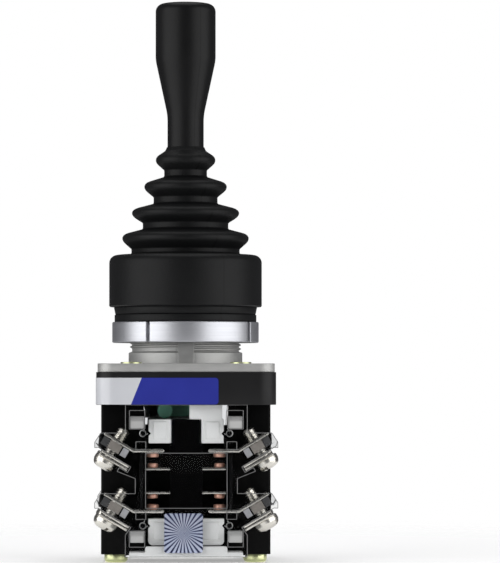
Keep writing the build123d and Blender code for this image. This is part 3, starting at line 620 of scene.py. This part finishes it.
def clear_moulding(name):
    """Clear plastic, clouded at the wings, that lets the light through to the pieces behind it."""
    clear = (1.0, 1.0, 1.0)
    clouded = (0.8, 0.78, 0.74)
    let_through = (0.9, 0.905, 0.91)
    material, tree, shader = new_material(name, clear, roughness=0.0, specular=0.3)
    aside = math_node(tree, "ABSOLUTE", object_axes(tree)["X"])
    beyond = math_node(tree, "GREATER_THAN", aside, cloudy_from * MM)
    cloud = math_node(tree, "MULTIPLY", beyond, noise_node(tree, scale=700.0, detail=2.0))
    tree.links.new(mix_colour(tree, cloud, clear, clouded), shader.inputs["Base Color"])
    shader.inputs["Transmission Weight"].default_value = 1.0
    shader.inputs["IOR"].default_value = 1.14
    vary(tree, cloud, shader.inputs["Roughness"], 0.0, 0.12)
    path = tree.nodes.new("ShaderNodeLightPath").outputs
    through = tree.nodes.new("ShaderNodeBsdfTransparent")
    through.inputs["Color"].default_value = (*let_through, 1)
    blend = tree.nodes.new("ShaderNodeMixShader")
    bounced = math_node(tree, "MAXIMUM", path["Is Diffuse Ray"], path["Is Glossy Ray"])
    unseen = math_node(tree, "MAXIMUM", path["Is Shadow Ray"], bounced)
    tree.links.new(unseen, blend.inputs["Fac"])
    tree.links.new(shader.outputs["BSDF"], blend.inputs[1])
    tree.links.new(through.outputs["BSDF"], blend.inputs[2])
    tree.links.new(blend.outputs["Shader"], tree.nodes["Material Output"].inputs["Surface"])
    return material


def parted_rubber(name, base, roughness):
    """Moulded rubber with the dark line where the two halves of its mould met."""
    material = moulded_plastic(name, base, tinted(base, 2), roughness, grain=0.00003)
    tree = material.node_tree
    turned = tree.nodes.new("ShaderNodeVectorRotate")
    turned.rotation_type = "Z_AXIS"
    turned.inputs["Angle"].default_value = -radians(parting_angle)
    axes = object_axes(tree, turned)
    aside = math_node(tree, "ABSOLUTE", axes["X"])
    narrow = math_node(tree, "LESS_THAN", aside, parting_half_width * MM)
    in_front = math_node(tree, "LESS_THAN", axes["Y"], 0.0)
    line = math_node(tree, "MULTIPLY", narrow, in_front)
    colour = tree.nodes["Principled BSDF"].inputs["Base Color"]
    shade = colour.links[0].from_socket
    tree.links.new(mix_colour(tree, line, shade, tinted(base, 0.3)), colour)
    return material


# For the record's slots; Blender adds a number to a name that one of the CAD materials has already
finishes = {finish.name.split(".")[0]: finish for finish in (
    parted_rubber("handle_black", (0.0055, 0.0055, 0.0058), roughness=0.42),
    parted_rubber("rubber", (0.0048, 0.005, 0.0053), roughness=0.48),
    moulded_plastic("collar_black", (0.008, 0.008, 0.008), worn=(0.03, 0.03, 0.03), roughness=0.4),
    moulded_plastic("housing_black", (0.009, 0.009, 0.0095), worn=(0.025, 0.025, 0.025), roughness=0.45,
                    specular=0.2),
    moulded_plastic("block_black", (0.0042, 0.0042, 0.0043), worn=(0.011, 0.011, 0.011), roughness=0.5,
                    grain=0.000003, specular=0.06),
    # Lighter than the plastic's own green, as painted light for the shade it stands in behind the clear
    # cover
    moulded_plastic("rocker_green", (0.2, 0.5, 0.36), worn=(0.3, 0.6, 0.45), roughness=0.42, specular=0.4),
    moulded_plastic("white_plastic", (0.95, 0.95, 0.93), worn=(0.3, 0.3, 0.29), roughness=0.45,
                    specular=0.5),
    turned_metal("steel", (0.62, 0.62, 0.6), dull=(0.42, 0.42, 0.41), roughness=0.35),
    turned_metal("aluminium", (0.55, 0.555, 0.58), dull=(0.46, 0.47, 0.5), roughness=0.4),
    plated_metal("spring_steel", (0.85, 0.85, 0.83), tarnish=(0.7, 0.7, 0.7), roughness=0.3, metallic=0.6),
    plated_metal("zinc_yellow", (0.72, 0.74, 0.4), tarnish=(0.55, 0.6, 0.35), roughness=0.3),
    plated_metal("copper", (1.0, 0.6, 0.46), tarnish=(0.95, 0.5, 0.37), roughness=0.4, metallic=0.5),
    plated_metal("nickel", (0.74, 0.72, 0.66), tarnish=(0.58, 0.56, 0.52), roughness=0.24),
    cast_metal("cast_zinc", (0.46, 0.46, 0.45), roughness=0.55),
    clear_moulding("clear_plastic"),
)}

# For the plates behind the clear wings
wing_finishes = {
    "dark": plated_metal("dark_plate", (0.09, 0.09, 0.095), tarnish=(0.05, 0.05, 0.05), roughness=0.5,
                         metallic=0.3),
    "beige": plated_metal("beige_plate", (0.36, 0.33, 0.3), tarnish=(0.22, 0.2, 0.18), roughness=0.5,
                          metallic=0.3),
    "light": plated_metal("light_plate", (0.55, 0.55, 0.57), tarnish=(0.4, 0.4, 0.42), roughness=0.45,
                          metallic=0.3),
}

# For pieces that differ from the material of their slot
own_finishes = {
    # A grey plastic for the cover's edge lines, which are painted highlights
    "cover_edges": moulded_plastic("painted_edge_highlight", (0.15, 0.15, 0.15), worn=(0.19, 0.19, 0.19),
                                   roughness=0.5, specular=0.4),
    # The carriers get a darker black than the block bodies, as painted shade against the light from above
    "carrier": moulded_plastic("carrier_painted_shade", (0.001, 0.001, 0.0011), worn=(0.004, 0.004, 0.004),
                               roughness=0.55, grain=0.000003, specular=0.03),
    # The latches get grey in place of the white plastic, as painted shade
    "cover_latches": moulded_plastic("latch_painted_shade", (0.44, 0.44, 0.435), worn=(0.18, 0.18, 0.18),
                                     roughness=0.4, specular=0.4),
}


def set_finish(piece, finish):
    piece.data.materials.clear()
    piece.data.materials.append(finish)


# The record's slot that each CAD node came with
node_slots = {name: node.data.materials[0].name.split(".")[0] for name, node in nodes.items()}


def stand_for(piece, node):
    """Makes a piece ride and look as the CAD node that it replaces."""
    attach(piece, nodes[node]["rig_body"])
    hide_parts(node)
    set_finish(piece, finishes[node_slots[node]])


# Handle

def dome_height(radius):
    return handle_top - dome_radius + sqrt(dome_radius ** 2 - radius ** 2)


def make_handle():
    crown = grip_radius - grip_rounding
    points = [(0, stud_top, 0), (stud_radius, stud_top, 0), (stud_radius, handle_foot, 0),
              (neck_radius - handle_foot_edge, handle_foot, 0),
              (neck_radius, handle_foot + handle_foot_edge, 0),
              (neck_radius, neck_top, neck_rounding), (grip_radius, grip_foot, grip_waist_rounding),
              (grip_radius, dome_height(crown), grip_rounding)]
    for share in dome_shares:
        points.append((crown * share, dome_height(crown * share), dome_rounding))
    points.append((0, handle_top, 0))
    return finish_mesh("handle_grip", spun(points, turned_steps))


# Boot, in two pieces that meet on the straight upper side of its lowest fold

def fold_points(first, last):
    """The outside of some of the folds: two points at each groove and one at its rim."""
    points = []
    for (groove, foot, top), (rim, height) in list(zip(fold_grooves, fold_rims))[first:last]:
        points += [(groove, foot, groove_rounding), (groove, top, groove_rounding)]
        points.append((rim, height, fold_rounding))
    return points


def drawn_in(points):
    """The points between the first and the last, moved inwards by the boot's wall."""
    moved = []
    for before, point, after in zip(points, points[1:], points[2:]):
        arriving = (Vector(point[:2]) - Vector(before[:2])).normalized()
        leaving = (Vector(after[:2]) - Vector(point[:2])).normalized()
        share = boot_wall / (1 + arriving.dot(leaving))
        moved.append((point[0] - (arriving.y + leaving.y) * share,
                      point[1] + (arriving.x + leaving.x) * share, inner_rounding))
    return moved


def seam_points():
    """Where the seam lies on the outer wall and, straight across the wall, on the inner one."""
    rim = Vector(fold_rims[seam_fold])
    foot = Vector(fold_grooves[seam_fold + 1][:2])
    outer = rim.lerp(foot, seam_share)
    along = (foot - rim).normalized()
    inner = outer + boot_wall * Vector((-along.y, along.x))
    return (*outer, 0), (*inner, 0)


def make_lower_boot():
    outer_seam, inner_seam = seam_points()
    inner_skirt = skirt_radius - skirt_wall
    folds = [(skirt_radius, skirt_top, skirt_corner)] + fold_points(0, seam_fold + 1) + [outer_seam]
    outside = [(skirt_radius - skirt_foot_edge, skirt_foot, 0),
               (skirt_radius, skirt_foot + skirt_foot_edge, 0)]
    inside = [(inner_skirt, skirt_foot, 0), (inner_skirt, skirt_top - skirt_wall, inner_rounding)]
    outline = outside + folds + [inner_seam] + drawn_in(folds)[::-1] + inside[::-1]
    return finish_mesh("boot_skirt", spun(outline, turned_steps, closed=True), boot_turn)


def make_upper_boot():
    outer_seam, inner_seam = seam_points()
    lip = neck_radius + lip_gap
    end = (lip_radius, boot_top - lip_outside, lip_rounding)
    folds = [outer_seam] + fold_points(seam_fold + 1, len(fold_rims)) + [end]
    outside = folds + [(neck_radius + lip_edge, boot_top, 0)]
    inside = drawn_in(folds) + [(lip, boot_top - lip_inside, 0), (lip, boot_top, 0)]
    outline = outside + inside[::-1] + [inner_seam]
    return finish_mesh("boot_bellows", spun(outline, turned_steps, closed=True), boot_turn)


def dress_boot():
    lower = make_lower_boot()
    upper = make_upper_boot()
    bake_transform(lower)
    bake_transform(upper)
    for piece in (lower, upper):
        set_finish(piece, finishes["rubber"])
        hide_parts("rubber_boot")


# Return spring, in two lengths that meet halfway up

def spring_length(name, start, end):
    """A length of the conical coil, between two shares of its height."""
    points = []
    for number in range(spring_steps + 1):
        share = start + (end - start) * number / spring_steps
        turn = 2 * pi * spring_turns * share
        radius = spring_foot_radius + (spring_top_radius - spring_foot_radius) * share
        height = spring_foot + (spring_top - spring_foot) * share
        points.append((radius * cos(turn), radius * sin(turn), height))
    return wire_mesh(name, [points], spring_wire, resolution=3)


def dress_return_spring():
    lower = spring_length("return_spring_lower", 0.0, 0.5)
    upper = spring_length("return_spring_upper", 0.5, 1.0)
    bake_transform(lower)
    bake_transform(upper)
    for piece in (lower, upper):
        set_finish(piece, finishes["spring_steel"])
        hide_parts("return_spring")


# Screw thread on the bush, broken by the key groove at the front

def make_bush_thread():
    """One ridge for each turn, from one side of the key groove round to the other."""
    sunk = thread_root - thread_sunk
    half = [(sunk, thread_half_foot), (thread_root, thread_half_foot), (thread_crest, thread_half_crest)]
    ridge = [(radius, -height) for radius, height in half] + half[::-1]
    sweep = 2 * pi - 2 * radians(key_half_angle)
    rise = thread_pitch * sweep / (2 * pi) / thread_steps
    start = Matrix.Rotation(radians(-90 + key_half_angle), 3, "Z")
    whole = bmesh.new()
    for number in range(thread_turns):
        middle = thread_foot + thread_pitch * (number + 0.5)
        corners = [whole.verts.new((radius, 0, middle + height)) for radius, height in ridge]
        bmesh.ops.rotate(whole, verts=corners, cent=(0, 0, 0), matrix=start)
        end_face = whole.faces.new(corners)
        bmesh.ops.spin(whole, geom=[end_face], cent=(0, 0, 0), axis=(0, 0, 1), angle=sweep,
                       steps=thread_steps, dvec=(0, 0, rise))
    return finish_mesh("bush_thread", whole, thread_turn)


# Label on the base and sticker on the front cover

def make_label():
    """A thin plate along the front of the base that turns round its left corner."""
    shape = bmesh.new()
    outer = -base_half_width - label_thickness
    inner = outer + label_thickness
    section = [(outer, label_foot), (outer, label_top), (inner, label_top), (inner, label_foot)]
    end = shape.faces.new([shape.verts.new((label_right, depth, height)) for depth, height in section])
    corner_start = -base_half_width + base_corner
    tip = extruded(shape, [end], (corner_start - label_right, 0, 0))
    turned = bmesh.ops.spin(shape, geom=tip, cent=(corner_start, corner_start, 0), axis=(0, 0, 1),
                            angle=-pi / 2, steps=label_corner_steps)
    last = [part for part in turned["geom_last"] if isinstance(part, bmesh.types.BMFace)]
    extruded(shape, last, (0, label_side_length, 0))
    round_label_corners(shape)
    return finish_mesh("base_label", shape, soft_turn)


def round_label_corners(shape):
    """Rounds the four corners of the label's outline."""
    end_y = -base_half_width + base_corner + label_side_length
    chosen = []
    for edge in shape.edges:
        first, second = (v.co for v in edge.verts)
        along_x, along_y, along_z = (abs(a - b) for a, b in zip(first, second))
        through_front = abs(along_y - label_thickness) < nearly and along_x < nearly
        through_side = abs(along_x - label_thickness) < nearly and along_y < nearly
        at_right = through_front and abs(first.x - label_right) < nearly
        at_back = through_side and abs(first.y - end_y) < nearly
        if along_z < nearly and (at_right or at_back):
            chosen.append(edge)
    round_edges(shape, chosen, label_rounding)


def label_material():
    """White at the left, blue at the right, with a slanted border, under a glossy film."""
    material, tree, shader = new_material("printed_film", (0.1, 0.12, 0.6), roughness=0.35)
    shader.inputs["Coat Weight"].default_value = 0.4
    shader.inputs["Coat Roughness"].default_value = 0.15
    axes = object_axes(tree)
    drop = math_node(tree, "SUBTRACT", axes["Z"], label_top * MM)
    border = math_node(tree, "ADD", math_node(tree, "MULTIPLY", drop, border_slant), border_top * MM)
    beyond = math_node(tree, "GREATER_THAN", axes["X"], border)
    shade = noise_node(tree, scale=120.0, detail=2.0)
    blue = mix_colour(tree, shade, (0.01, 0.016, 0.22), (0.018, 0.028, 0.3))
    white = mix_colour(tree, shade, (0.5, 0.51, 0.54), (0.62, 0.63, 0.66))
    tree.links.new(mix_colour(tree, beyond, white, blue), shader.inputs["Base Color"])
    add_bump(tree, shader, noise_node(tree, scale=900.0), distance=0.000008)
    return material


def make_sticker():
    """A square of foil on the front of the clear cover."""
    shape = bmesh.new()
    front = cover_face - sticker_thickness
    box(shape, (sticker_left, front, sticker_foot), (sticker_right, cover_face, sticker_top))
    half = sticker_thickness / 2
    through = [e for e in shape.edges if abs(e.verts[0].co.y - e.verts[1].co.y) > half]
    round_edges(shape, through, sticker_rounding)
    return finish_mesh("foil_sticker", shape, soft_turn)


def foil_material():
    """Silver foil with plain blue rays from its middle."""
    material, tree, shader = new_material("ray_foil", (0.6, 0.66, 0.85), roughness=0.3, metallic=0.6)
    centre = tree.nodes.new("ShaderNodeMapping")
    middle = ((sticker_left + sticker_right) / 2 * MM, 0, (sticker_foot + sticker_top) / 2 * MM)
    centre.inputs["Location"].default_value = [-value for value in middle]
    axes = object_axes(tree, centre)
    angle = math_node(tree, "ARCTAN2", axes["Z"], axes["X"])
    wave = math_node(tree, "SINE", math_node(tree, "MULTIPLY", angle, foil_rays))
    bare = math_node(tree, "GREATER_THAN", wave, foil_ray_limit)
    drift = noise_node(tree, scale=260.0, detail=2.0)
    sheen = mix_colour(tree, drift, (0.42, 0.5, 0.7), (0.66, 0.68, 0.82))
    tree.links.new(mix_colour(tree, bare, (0.012, 0.018, 0.06), sheen), shader.inputs["Base Color"])
    vary(tree, bare, shader.inputs["Roughness"], 0.42, 0.22)
    return material


def dress_prints():
    label = make_label()
    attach(label, "housing")
    set_finish(label, label_material())
    sticker = make_sticker()
    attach(sticker, "housing")
    set_finish(sticker, foil_material())


# Terminal screws: pan heads with a crossed slot and a threaded shank

def cut_away(piece, cutters):
    """Cuts other meshes out of a piece and throws them away."""
    for cutter in cutters:
        cut = piece.modifiers.new("cut", "BOOLEAN")
        cut.operation = "DIFFERENCE"
        cut.solver = "EXACT"
        cut.object = cutter
    applied(piece)
    for cutter in cutters:
        bpy.data.objects.remove(cutter)
    return piece


def slot_cutter(name, length, width, depth):
    """A block that reaches up into a screw head from below."""
    shape = bmesh.new()
    low = head_seat - head_height
    box(shape, (-length / 2, -width / 2, low - 1), (length / 2, width / 2, low + depth))
    return finish_mesh(name, shape)


def make_screw_head():
    points = [(0, head_seat, 0)]
    for inset, drop, rounding in head_outline:
        points.append((head_radius - inset, head_seat - drop, rounding))
    points.append((0, head_seat - head_height, 0))
    head = finish_mesh("screw_head", spun(points, head_steps))
    return cut_away(head, [slot_cutter("slot", *head_slot), slot_cutter("cross", *head_cross)])


def make_screw_shank():
    """The shank with its thread as one ridge that winds up to the tip."""
    shape = bmesh.new()
    turns = int((screw_tip - screw_tip_edge - head_seat - screw_pitch) / screw_pitch)
    half = [(screw_core - screw_sunk, screw_half_foot), (screw_radius, screw_half_crest)]
    ridge = [(radius, -height) for radius, height in half] + half[::-1]
    middle = head_seat + screw_ridge_start
    face = shape.faces.new([shape.verts.new((radius, 0, middle + height)) for radius, height in ridge])
    bmesh.ops.spin(shape, geom=[face], cent=(0, 0, 0), axis=(0, 0, 1), angle=2 * pi * turns,
                   steps=screw_turn_steps * turns, dvec=(0, 0, screw_pitch / screw_turn_steps))
    foot = head_seat - screw_sunk
    core = [(0, foot, 0), (screw_core, foot, 0), (screw_core, screw_tip - screw_tip_edge, 0),
            (screw_core - screw_tip_edge, screw_tip, 0), (0, screw_tip, 0)]
    return finish_mesh("screw_shank", joined([shape, spun(core, screw_core_steps)]))


def terminal_place(level, hand):
    """Where a terminal screw stands at the front, in metres, with Z up the screw."""
    side = -1 if hand == "left" else 1
    slope = radians(strip_slope)
    height = chamber_middle + (strip_height if level == "upper" else -strip_height)
    hole = Vector((side * (strip_bend + terminal_hole * cos(slope)), -contact_depth,
                   height + terminal_hole * sin(slope))) * MM
    up = Vector((-side * sin(slope), 0, cos(slope)))
    across = Vector((0, 1, 0)).cross(up)
    turn = Matrix((across, (0, 1, 0), up)).transposed()
    return Matrix.Translation(hole) @ turn.to_4x4()


def dress_terminal_screws():
    head, shank = make_screw_head(), make_screw_shank()
    for block, half_turn in half_turns.items():
        shapes = []
        for name, turn in head_turns.items():
            place = Matrix.Rotation(half_turn, 4, "Z") @ terminal_place(*name.split("_"))
            shapes.append((head.data, place @ Matrix.Rotation(radians(turn), 4, "Z")))
            shapes.append((shank.data, place))
        node = block + "_terminal_screws"
        stand_for(merged(node + "_threaded", shapes), node)
    for pattern in (head, shank):
        bpy.data.objects.remove(pattern)


# Hairpin springs: a coil round each post, with one leg to the slider and one behind the coil

def hairpin_points(notch, nose):
    """The middle line of one wire at the left of the front block."""
    rise = hairpin_rise * hairpin_wire
    points = [(-nose, -hairpin_depth, notch)]
    for number in range(hairpin_steps + 1):
        share = number / hairpin_steps
        angle = radians(hairpin_start) + hairpin_turns * 2 * pi * share
        points.append((-hairpin_x + hairpin_radius * cos(angle), -hairpin_depth + rise * share,
                       notch + hairpin_radius * sin(angle)))
    across, up = hairpin_leg
    points.append((-hairpin_x + across, -hairpin_depth + rise, notch + up))
    return points


def dress_hairpin_springs():
    for block, sign in facings.items():
        lines = []
        for notch, nose in hairpin_notches.values():
            left = hairpin_points(notch, nose)
            for side in (1, -1):
                lines.append([(sign * side * x, sign * y, z) for x, y, z in left])
        node = block + "_hairpin_springs"
        stand_for(wire_mesh(node + "_wires", lines, hairpin_wire), node)


# Painted highlights along the covers' edges, plates behind their wings, and black webs as painted shade in
# the block bodies

def dress_cover_edges():
    """Grey lines along the sharp edges of each clear cover's front, as painted highlights."""
    near_front = (-cover_face - edge_line_depth) * MM
    for block in half_turns:
        shape = bmesh.new()
        shape.from_mesh(nodes[block + "_clear_cover"].data)
        bmesh.ops.remove_doubles(shape, verts=shape.verts, dist=weld * MM)
        lines = []
        for edge in shape.edges:
            at_front = all(abs(v.co.y) > near_front for v in edge.verts)
            if at_front and len(edge.link_faces) == 2 and edge.calc_face_angle() > radians(edge_line_turn):
                lines.append([tuple(v.co / MM) for v in edge.verts])
        shape.free()
        piece = wire_mesh(block + "_cover_edge_lines", lines, edge_line)
        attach(piece, "housing")
        set_finish(piece, own_finishes["cover_edges"])


def dress_wing_plates():
    """Small plates that are seen through the clear wings, in front of the screws."""
    for shade, ends in wing_plates.items():
        low, high = zip(ends, wing_plate_depths, wing_plate_heights)
        pattern = bmesh.new()
        box(pattern, low, high)
        plate = finish_mesh("wing_plate", pattern)
        for block, half_turn in half_turns.items():
            shapes = []
            for name in head_turns:
                level, hand = name.split("_")
                place = Matrix.Rotation(half_turn, 4, "Z") @ terminal_place(level, hand)
                mirror = Matrix.Scale(-1 if hand == "left" else 1, 4, (1, 0, 0))
                shapes.append((plate.data, place @ mirror))
            piece = merged(f"{block}_wing_plates_{shade}", shapes)
            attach(piece, "housing")
            set_finish(piece, wing_finishes[shade])
        bpy.data.objects.remove(plate)


def dress_shade_webs():
    """Thin black walls behind the upper latches, as painted shade in the block bodies."""
    for block, sign in facings.items():
        shape = bmesh.new()
        for side in (1, -1):
            x_ends = sorted((side * web_left, side * web_right))
            y_ends = sorted((sign * web_front, sign * web_back))
            low, high = zip(x_ends, y_ends, (web_foot, web_top))
            box(shape, low, high)
        web = finish_mesh(block + "_shade_webs", shape)
        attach(web, "housing")
        # Black, as painted shade
        set_finish(web, finishes["block_black"])


# Pieces that keep their CAD form and get softened edges

soft_edges = {
    "base_housing": 0.3, "mounting_bush": 0.15, "ring_nut": 0.18, "upper_washer": 0.25, "lower_washer": 0.2,
    "boot_collar": 0.2, "gate_plate": 0.1, "gimbal": 0.2, "side_rocker": 0.2, "spring_plate": 0.15,
    "block_body": 0.15, "clear_cover": 0.12, "cover_latches": 0.2, "bottom_guide": 0.2, "upper_slider": 0.15,
    "carrier": 0.12, "lower_slider": 0.15, "upper_bridge": 0.1, "lower_bridge": 0.1, "clamp_plates": 0.12,
    "fixed_rivets": 0.35, "bridge_rivets": 0.35, "fixing_screws": 0.1, "flange_screws": 0.1,
    **{name + "_terminal": 0.12 for name in head_turns},
}


def dress_cad_nodes():
    """Softens the nodes that are listed and gives every other one its finish."""
    for name, node in nodes.items():
        if node.hide_render:
            continue
        plain = name.removeprefix("front_").removeprefix("rear_")
        if plain in soft_edges:
            piece = softened(name, soft_edges[plain])
            stand_for(piece, name)
            if plain in own_finishes:
                set_finish(piece, own_finishes[plain])
        else:
            set_finish(node, finishes[node_slots[name]])


# Stage, light and camera

floor_radius = 260.0
floor_fade = (110.0, 250.0)
floor_glow = 0.35

# The lights, with places and sizes in metres: two beside the camera, and one above
side_box_angle = 61           # from the line between the part and the camera
side_box_distance = 0.75
side_box_height = 0.05
side_box_aim = (0, 0, 0.02)
side_box_size = (0.95, 0.9)
side_boxes = {"left_softbox": (-1, 6.2), "right_softbox": (1, 6.0)}  # the side, and the power in watts
top_box_place = (0, 0.1, 0.9)
top_box_size = (0.8, 0.8)
top_box_power = 4.0
room_shade = (0.1, 0.1, 0.105)
backdrop_white = (1.0, 1.0, 1.0)


def make_floor():
    """A pale round floor that fades out before its edge."""
    shape = bmesh.new()
    bmesh.ops.create_circle(shape, cap_ends=True, cap_tris=False, segments=96, radius=floor_radius)
    bmesh.ops.translate(shape, verts=shape.verts, vec=(0, 0, cad_box[0][2] / MM))
    floor = finish_mesh("floor", shape)
    material, tree, shader = new_material("pale_floor", (0.95, 0.95, 0.95), roughness=0.7, specular=0.1)
    shader.inputs["Emission Color"].default_value = (1, 1, 1, 1)
    shader.inputs["Emission Strength"].default_value = floor_glow
    place = tree.nodes.new("ShaderNodeTexCoord")
    length = tree.nodes.new("ShaderNodeVectorMath")
    length.operation = "LENGTH"
    tree.links.new(place.outputs["Object"], length.inputs[0])
    fade = tree.nodes.new("ShaderNodeMapRange")
    fade.interpolation_type = "SMOOTHSTEP"
    fade.inputs["From Min"].default_value = floor_fade[0] * MM
    fade.inputs["From Max"].default_value = floor_fade[1] * MM
    fade.inputs["To Min"].default_value = 1.0
    fade.inputs["To Max"].default_value = 0.0
    tree.links.new(length.outputs["Value"], fade.inputs["Value"])
    tree.links.new(fade.outputs["Result"], shader.inputs["Alpha"])
    set_finish(floor, material)


def area_light(name, place, target, size, power):
    light = bpy.data.lights.new(name, "AREA")
    light.shape = "RECTANGLE"
    light.size, light.size_y = size
    light.energy = power
    lamp = bpy.data.objects.new(name, light)
    bpy.context.scene.collection.objects.link(lamp)
    lamp.location = place
    aim = Vector(target) - Vector(place)
    lamp.rotation_euler = aim.to_track_quat("-Z", "Y").to_euler()


def light_scene():
    """Two soft boxes with a dark gap between them at the camera, a soft one above, and a white backdrop."""
    angle = radians(side_box_angle)
    for name, (side, power) in side_boxes.items():
        place = (side * side_box_distance * sin(angle), -side_box_distance * cos(angle), side_box_height)
        area_light(name, place, side_box_aim, side_box_size, power)
    area_light("top_softbox", top_box_place, (0, 0, 0), top_box_size, top_box_power)
    world = bpy.data.worlds.new("studio")
    world.use_nodes = True
    tree = world.node_tree
    background = tree.nodes["Background"]
    background.inputs["Strength"].default_value = 1.0
    path = tree.nodes.new("ShaderNodeLightPath").outputs
    seen = math_node(tree, "MAXIMUM", path["Is Camera Ray"], path["Is Transmission Ray"])
    tree.links.new(mix_colour(tree, seen, room_shade, backdrop_white), background.inputs["Color"])
    bpy.context.scene.world = world
    bpy.context.scene.view_settings.view_transform = "Standard"


# The photograph's view, in metres: the camera's place, the middle of the frame and the frame's height
eye = Vector((-0.009, -0.870, -0.003))
frame_middle = Vector((0.01675, 0, 0.02135))
frame_height = 0.1463
sensor_height = 24.0          # in millimetres


def make_camera():
    data = bpy.data.cameras.new("camera")
    data.sensor_fit = "VERTICAL"
    data.sensor_height = sensor_height
    data.lens = sensor_height * (frame_middle - eye).length / frame_height
    camera = bpy.data.objects.new("camera", data)
    bpy.context.scene.collection.objects.link(camera)
    camera.location = eye
    camera.rotation_euler = (frame_middle - eye).to_track_quat("-Z", "Y").to_euler()
    bpy.context.scene.camera = camera


make_camera()
light_scene()
make_floor()
dress_boot()
dress_return_spring()
stand_for(make_handle(), "handle")
thread = make_bush_thread()
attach(thread, "housing")
set_finish(thread, finishes["cast_zinc"])
dress_prints()
dress_terminal_screws()
dress_hairpin_springs()
dress_cover_edges()
dress_wing_plates()
dress_shade_webs()
dress_cad_nodes()
